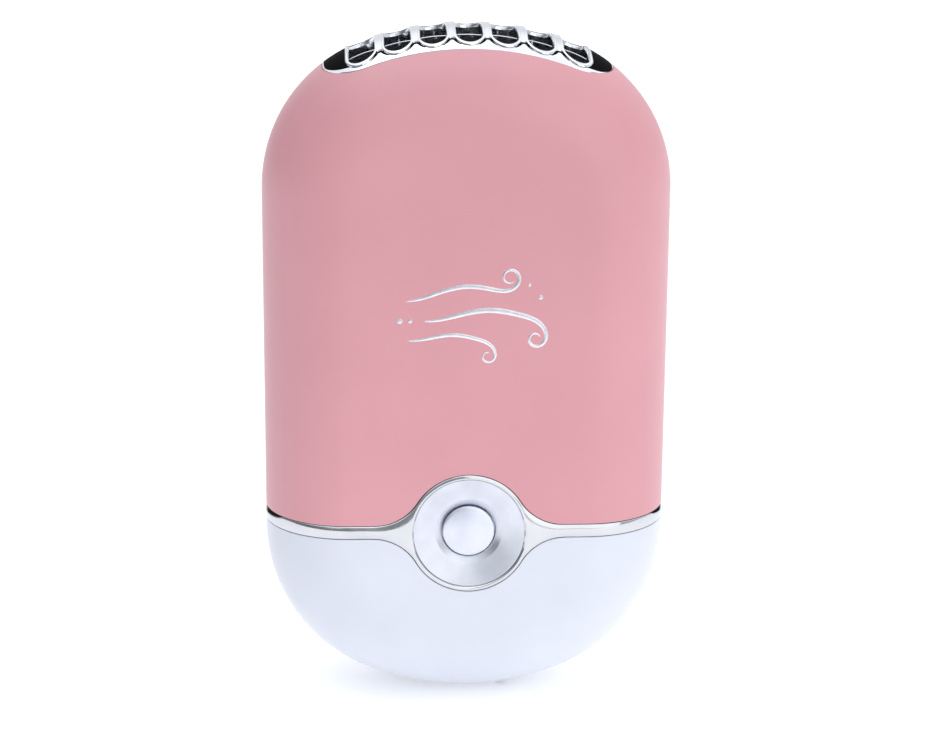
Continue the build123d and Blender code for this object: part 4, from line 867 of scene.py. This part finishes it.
def make_trim_band():
    """The band: two strips in front, two behind, and the eye's wall with its lip inside the case."""
    front_y, wall_y, lip_y = -HALF_T + 0.02, -14.0, -17.2
    well = np.array([(EYE_HOLE_R, front_y), (EYE_HOLE_R, wall_y), (EYE_R, wall_y), (EYE_R, lip_y)])
    parts = [band_strip(1), band_strip(-1), band_back_strip(1), band_back_strip(-1)]
    parts.append(turned(well, (0, EYE_Z), 160))
    put("trim_band_plated", parts, "case", "chrome_trim", ["trim_band"])


def stroke(start, heading, length, sway, curl):
    """A breeze line on the flat front: its heading sways once as a sine and then winds up
    as the square of the rest of the way. The points are the heading's steps added up."""
    count, sway_share, wind_from = 240, 0.75, 0.55
    share = np.linspace(0, 1, count)
    wind = np.clip((share - wind_from) / (1 - wind_from), 0, 1) ** 2
    turn = heading + sway * np.sin(2 * math.pi * share / sway_share) * (1 - wind) + curl * wind
    return np.array(start) + np.cumsum(headed(np.radians(turn)) * length / count, axis=0)


def flanks(line, width, shares):
    """Copies of a line, moved sideways by shares of a width that can change along it."""
    way = np.gradient(line, axis=0)
    way /= np.hypot(way[:, 0], way[:, 1])[:, None]
    across = packed(-way[:, 1], way[:, 0])
    return np.stack([line + across * (width * share)[:, None] for share in shares])


def foil_line(line, width):
    """Hot-stamped foil along a line: widest past the middle, tapered at both ends, and 0.03 mm thick."""
    share = np.linspace(0, 1, len(line))
    broad = width * (0.18 + 0.82 * np.sin(math.pi * share ** 0.8) ** 0.8)
    rise = np.array([-0.02, 0.015, 0.03, 0.03, 0.015, -0.02])
    return sheet_of(wrap(flanks(line, broad, (-0.5, -0.5, -0.4, 0.4, 0.5, 0.5)), rise[:, None]))


def make_foil_breeze():
    """A plain ornament stamped on the front in silver foil: three breeze lines with curls, and drops.
    A line is its start, heading, length, sway, curl and width, and a drop its place and radius."""
    lines = [
        ((-12.5, 16.5), 4, 31.0, 16, 400, 0.85),
        ((-9.0, 12.6), 0, 34.0, 15, -420, 1.0),
        ((-12.0, 8.8), -2, 24.0, 14, -380, 0.75),
    ]
    drops = [(-13.6, 12.7, 0.55), (-11.6, 12.65, 0.38), (13.4, 17.2, 0.42), (11.2, 19.6, 0.3)]
    parts = [foil_line(stroke(start, *way), width) for start, *way, width in lines]
    for x, z, r in drops:
        ring = np.stack([arc((x, z), each, 0, 360, 33)[:-1] for each in (1e-6, 0.6 * r, r, r)])
        rise = np.array([0.035, 0.033, 0.02, -0.02])[:, None]
        parts.append(sheet_of(wrap(ring, rise), loop=True, flip=True))
    put("foil_breeze", parts, "case", "stamped_foil", sharp=70)


def make_dish():
    """The spun dish: a shallow cone with a faint hollow, a bevel, and the button's bore.
    Behind it are two bored posts that carry the circuit board."""
    hole, rim_y, wall_y = BUTTON_HOLE_R, -17.95, -14.0
    corners = [
        (hole, DISH_BACK_Y), (hole, -15.88), (6.6, -16.75), (8.8, -17.4), (DISH_R, rim_y), (DISH_R, wall_y),
        (DISH_INNER_R, wall_y), (DISH_INNER_R, DISH_BACK_Y), (hole, DISH_BACK_Y),
    ]
    profile = eased(corners, [0, 0.12, 0.12, 1.5, 0.15, 0.1, 0.1, 0.1, 0], 7)
    put("button_dish_spun", [turned(profile, (0, EYE_Z), 192)], "case", "satin_chrome", ["button_dish"],
        closed=True, sharp=50)
    post_x, pilot_y, tip_y = 8.6, -8.6, -3.7
    post = np.array([
        (POST_PILOT_R, pilot_y), (POST_PILOT_R, tip_y), (POST_R, tip_y), (POST_R, DISH_BACK_Y),
        (POST_PILOT_R, DISH_BACK_Y), (POST_PILOT_R, pilot_y),
    ])
    for index, side in enumerate((-1, 1)):
        put(f"dish_post_{index + 1}", [turned(post, (side * post_x, EYE_Z), 32)], "case", "satin_chrome",
            closed=True)


def make_button():
    """The push button: a low dome with a soft shoulder, a skirt and a flange behind the dish,
    and the stem that reaches the switch."""
    dome_r, face_y, edge_y, fall = 4.6, -16.85, -16.42, 0.3
    flange_r, flange_y, flange_back_y = BUTTON_R + 0.9, -14.45, -13.65
    stem_r, stem_y = 1.8, -8.6
    radius = np.linspace(0, dome_r, 30)
    dome = packed(radius, face_y + fall * (radius / dome_r) ** 2)
    shoulder = eased([dome[-1], (BUTTON_R, edge_y), (BUTTON_R, flange_y)], 0.4, 8)
    rest = [
        (flange_r, flange_y), (flange_r, flange_back_y), (stem_r, flange_back_y), (stem_r, stem_y),
        (0, stem_y),
    ]
    profile = np.concatenate([dome[:-1], shoulder, rest])
    put("power_button_cap", [turned(profile, (0, EYE_Z), 160)], "button", "button_face", ["power_button"],
        closed=True)


def stadium(grow):
    """A slot's outline in plan about its own middle, grown by grow, counterclockwise."""
    r, half = SLOT_W / 2 + grow, SLOT_L / 2 - SLOT_W / 2
    ends, sides = 24, 16
    return joined(
        arc((0, -half), r, 180, 360, ends), run((r, -half), (r, half), sides),
        arc((0, half), r, 0, 180, ends), run((-r, half), (-r, -half), sides),
    )[:-1]


def make_slot_lips():
    """A plated bead round each slot: a rounded edge carried along the slot's outline, which covers
    the sharp edge of the hole. Each profile point is an outward offset and a rise over the case."""
    profile = [(-0.04, -0.5), (-0.07, 0.0), (-0.03, 0.2), (0.06, 0.3), (0.17, 0.33), (0.28, 0.3),
               (0.36, 0.255), (0.42, 0.2)]
    parts = []
    for x in SLOTS:
        rows = [stadium(out) + np.array([x, -SLOT_FORWARD]) for out, _ in profile]
        grid = np.stack([on_end(row, rise) for row, (_, rise) in zip(rows, profile)])
        parts.append(sheet_of(grid, loop=True))
    put("slot_lips", parts, "outlet", "grille_chrome", sharp=60)


def shade_ribbon(x, y, width):
    """A line of painted shade in the corner of the raised plate, width wide, along points in plan."""
    rows = flanks(packed(x, y), width, (-0.5, -0.25, 0.25, 0.5))
    rise = np.array([0.02, 0.05, 0.05, 0.02])[:, None]
    return sheet_of(on_end(rows, rise))


def make_plate_gaps():
    """Lines of painted shade where the raised plate meets its frame between two slots. Each is an arch:
    two circles about the slots' ends, blended over the middle by a smooth maximum."""
    half_l, crest, blur = 1.75, 1.2 ** 2, 0.5
    thin, thick = 0.1, 0.42
    reach, end_y = SLOT_W / 2 + LIP_EDGE + 0.2, -SLOT_FORWARD - (SLOT_L - SLOT_W) / 2
    s = np.linspace(-half_l, half_l, 41)
    inside = reach ** 2 - (SLOT_PITCH / 2 - np.abs(s)) ** 2
    y = end_y - np.sqrt(0.5 * (inside + crest + np.sqrt((inside - crest) ** 2 + blur)))
    width = thin + thick * np.clip(1 - np.abs(s) / half_l, 0, 1) ** 0.7
    parts = [shade_ribbon((left + right) / 2 + s, y, width) for left, right in zip(SLOTS[:-1], SLOTS[1:])]
    put("plate_gap_shade", parts, "outlet", "gap_shadow", sharp=80)


def make_end_hollows():
    """Sheets of painted shade beside the outermost slots, where the raised plate stands off its frame.
    Each lies between the slot's rim, from bearing first on, and an outer line whose front half is given
    in plan and mirrored to the back. It runs out to a point at both ends."""
    rim_r, half = SLOT_W / 2 + 0.3, (SLOT_L - SLOT_W) / 2
    count, rows = 200, 8
    lift = np.interp(np.linspace(0, 1, rows), [0, 0.2, 0.8, 1], [0.05, 0.035, 0.035, 0.015])[:, None]
    parts = []
    for side, first, outer in (
        (-1, 92, [(-27.75, -3.6), (-27.3, -6.1), (-25.5, -8.4), (-23.0, -9.6), (-20.4, -10.05)]),
        (1, 128, [(27.8, -3.6), (27.5, -6.2), (25.8, -8.8), (22.6, -10.1), (18.7, -9.9)]),
    ):
        back = arc((SLOTS[-1], half - SLOT_FORWARD), rim_r, first, 0, 60)
        front = arc((SLOTS[-1], -half - SLOT_FORWARD), rim_r, 0, -first, 60)
        inner = spread(joined(back, run(back[-1], front[0], 40), front) * np.array([side, 1]), count)
        behind = [(x, -y) for x, y in outer[::-1]]
        grid = ruled(inner, spread(eased(behind + outer, 3.0, 12), count), rows)
        parts.append(sheet_of(on_end(grid, lift), flip=side < 0))
    put("end_hollow_shade", parts, "outlet", "gap_shadow", sharp=80)


def make_slot_ribs():
    """A thin rib across each slot, 1 mm below its rim: a small round bar that bows down at its ends."""
    radius, y, deep, bow = 0.1, -5.5, 0.9, 0.08
    angle = np.radians(np.arange(0, 360, 30))[None]
    share = np.linspace(-1, 1, 25)[:, None]
    rise = -deep - bow * (share + 0.3) ** 2 + radius * np.sin(angle)
    parts = []
    for x in SLOTS:
        plan = packed(x + share * SLOT_W / 2, y + radius * np.cos(angle))
        parts.append(sheet_of(on_end(plan, rise), loop=True))
    put("slot_ribs", parts, "outlet", "grille_chrome", closed=True)


def soft_block(low, high, crown):
    """A foam block: a ball's directions, squared off by raising each coordinate to a small power, and
    stretched to the box. Its sides swell by crown in the middle of their length and height."""
    low, high = np.array(low) / MM, np.array(high) / MM
    square = 0.28
    u = np.linspace(-math.pi / 2, math.pi / 2, 97)[:, None]
    v = np.linspace(-math.pi, math.pi, 160, endpoint=False)[None]
    ball = packed(np.cos(u) * np.cos(v), np.cos(u) * np.sin(v), np.sin(u))
    place = np.sign(ball) * np.abs(ball) ** square
    bulge = 1 + crown * (1 - place[..., 0] ** 2) * (1 - np.abs(place[..., 2]) ** 4)
    place[..., 1] *= bulge / (1 + crown)
    return sheet_of((low + high) / 2 + place * (high - low) / 2, loop=True)


def make_foams():
    """The sponge under the grille and the pad between cell and board, inside their solids' boxes."""
    for name, node_name, body, slot, crown in (
        ("sponge_block", "sponge", "outlet", "sponge_foam", 0.04),
        ("battery_pad_foam", "battery_pad", "case", "foam_pad", 0.02),
    ):
        block = soft_block(*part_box(node_name), crown)
        put(name, [block], body, slot, [node_name], closed=True)


def make_outlet_seat():
    """The ledge inside the case that the grille drops onto: an upright ring on the outlet's outline,
    with a flat top that reaches in under the grille's plate."""
    low = SEAT_TOP - SEAT_H
    corners = ((SEAT_RING, SEAT_TOP), (-SEAT_HOLE, SEAT_TOP), (-SEAT_HOLE, low), (SEAT_RING, low))
    parts = []
    for side in (-1, 1):
        rows = [packed(*(outlet_half(grow) * np.array([1, -side])).T, z) for grow, z in corners]
        parts.append(sheet_of(np.stack(rows), flip=side > 0))
    put("outlet_seat", parts, "case", "pink_case")


for make in (
    make_front_shell, make_back_shell, make_caps, make_screw_wells, make_case_screws, make_trim_band,
    make_band_joints, make_parting_joint, make_foil_breeze, make_dish, make_button, make_slot_lips,
    make_plate_gaps, make_end_hollows, make_slot_ribs, make_foams, make_outlet_seat,
):
    make()


def soft_light(name, place, size, power, colour):
    """A wide area light, as a studio's softbox, aimed at the origin. Places and sizes are in metres."""
    data = bpy.data.lights.new(name, "AREA")
    data.shape = "RECTANGLE"
    data.size, data.size_y = size
    data.energy = power
    data.color = tone(colour)[:3]
    lamp = bpy.data.objects.new(name, data)
    turn = (-Vector(place)).normalized().to_track_quat("-Z", "Y").to_matrix().to_4x4()
    lamp.matrix_world = Matrix.Translation(place) @ turn
    bpy.context.scene.collection.objects.link(lamp)


def make_camera():
    """The photograph's camera: a long lens from a little above, turned slightly, with almost no roll.
    It is backed off, rolled and tipped about the target, and then turned about the upright axis."""
    distance, dip, yaw, roll = 469.8 * MM, 0.256, 0.057, 0.007
    target = Vector((-0.501, 0, -0.679)) * MM
    sensor, focal_px, width_px = 36.0, 2348.4, 925
    data = bpy.data.cameras.new("camera")
    data.sensor_width = sensor
    data.lens = focal_px / width_px * sensor
    data.clip_start, data.clip_end = 0.01, 20.0
    turn = Matrix.Rotation(-yaw, 4, "Z") @ Matrix.Translation(target)
    tip = Matrix.Rotation(math.pi / 2 - dip, 4, "X") @ Matrix.Rotation(roll, 4, "Z")
    camera = bpy.data.objects.new("camera", data)
    camera.matrix_world = turn @ tip @ Matrix.Translation((0, 0, distance))
    bpy.context.scene.collection.objects.link(camera)
    bpy.context.scene.camera = camera


def make_room():
    """A white room: a surround that is brightest above, and dim at the far left and low in front at the
    left, with a bright card at the front left. The camera itself sees plain white."""
    scene = bpy.context.scene
    scene.view_settings.view_transform = "Standard"
    scene.world = bpy.data.worlds.new("white_room")
    scene.world.use_nodes = True
    tree = scene.world.node_tree
    tree.nodes.clear()
    x, y, z = axes(tree, node(tree, "ShaderNodeTexCoord", {}).outputs["Generated"])
    behind = between(tree, y, 0, 1, -0.15, 0.35)
    dim = maths(tree, "MULTIPLY", between(tree, x, 0.6, 0, -0.06, 0.12), between(tree, z, 1, 0, 0.1, 0.2))
    front = mixed(tree, dim, "E4E8F0", "76817E")
    side = between(tree, x, 1, 0, -0.85, -0.45)
    room = mixed(tree, side, mixed(tree, behind, front, "F8FAFF"), "868A90")
    card = between(tree, x, 0, 1, -0.6, -0.42)
    for axis, start, end in ((x, -0.15, -0.25), (z, 0.4, 0.3), (z, 0.06, 0.13), (y, -0.1, -0.4)):
        card = maths(tree, "MULTIPLY", card, between(tree, axis, 0, 1, start, end))
    glow = blended(tree, between(tree, z, 0, 1, 0.4, 0.7), between(tree, behind, 0.72, 0.84, 0, 1), 1.2)
    glow = blended(tree, card, glow, 1.7)
    seen = node(tree, "ShaderNodeLightPath", {}).outputs["Is Camera Ray"]
    shown = {"Color": mixed(tree, seen, room, "FFFFFF"), "Strength": blended(tree, seen, glow, 1.0)}
    back = node(tree, "ShaderNodeBackground", shown)
    node(tree, "ShaderNodeOutputWorld", {"Surface": back.outputs[0]})


def make_floor():
    """A plain pale floor, in metres, under the part. It glows a little, so that it stays white."""
    mesh = bpy.data.meshes.new("floor")
    half, front, level = 3.0, -0.3, cad_low[2]
    corners = [(-half, front, level), (half, front, level), (half, half, level), (-half, half, level)]
    mesh.from_pydata(corners, [], [(0, 1, 2, 3)])
    floor = bpy.data.objects.new("floor", mesh)
    bpy.context.scene.collection.objects.link(floor)
    made, tree, place = blank("pale_floor")
    speck = noise(tree, place, 30.0)
    colour = mixed(tree, speck, "F7F8FA", "FCFCFD")
    close(made, Base_Color=colour, Roughness=between(tree, speck, 0.5, 0.6), Specular_IOR_Level=0.2,
          Emission_Color=tone("FFFFFF"), Emission_Strength=0.27)
    mesh.materials.append(made)


make_camera()
make_room()
make_floor()
soft_light("key_softbox", (0.424, -0.798, 0.27), (0.93, 0.85), 2.1, "FFFFFF")
soft_light("top_softbox", (-0.1, -0.1, 0.9), (0.9, 0.7), 1.8, "FAFBFF")
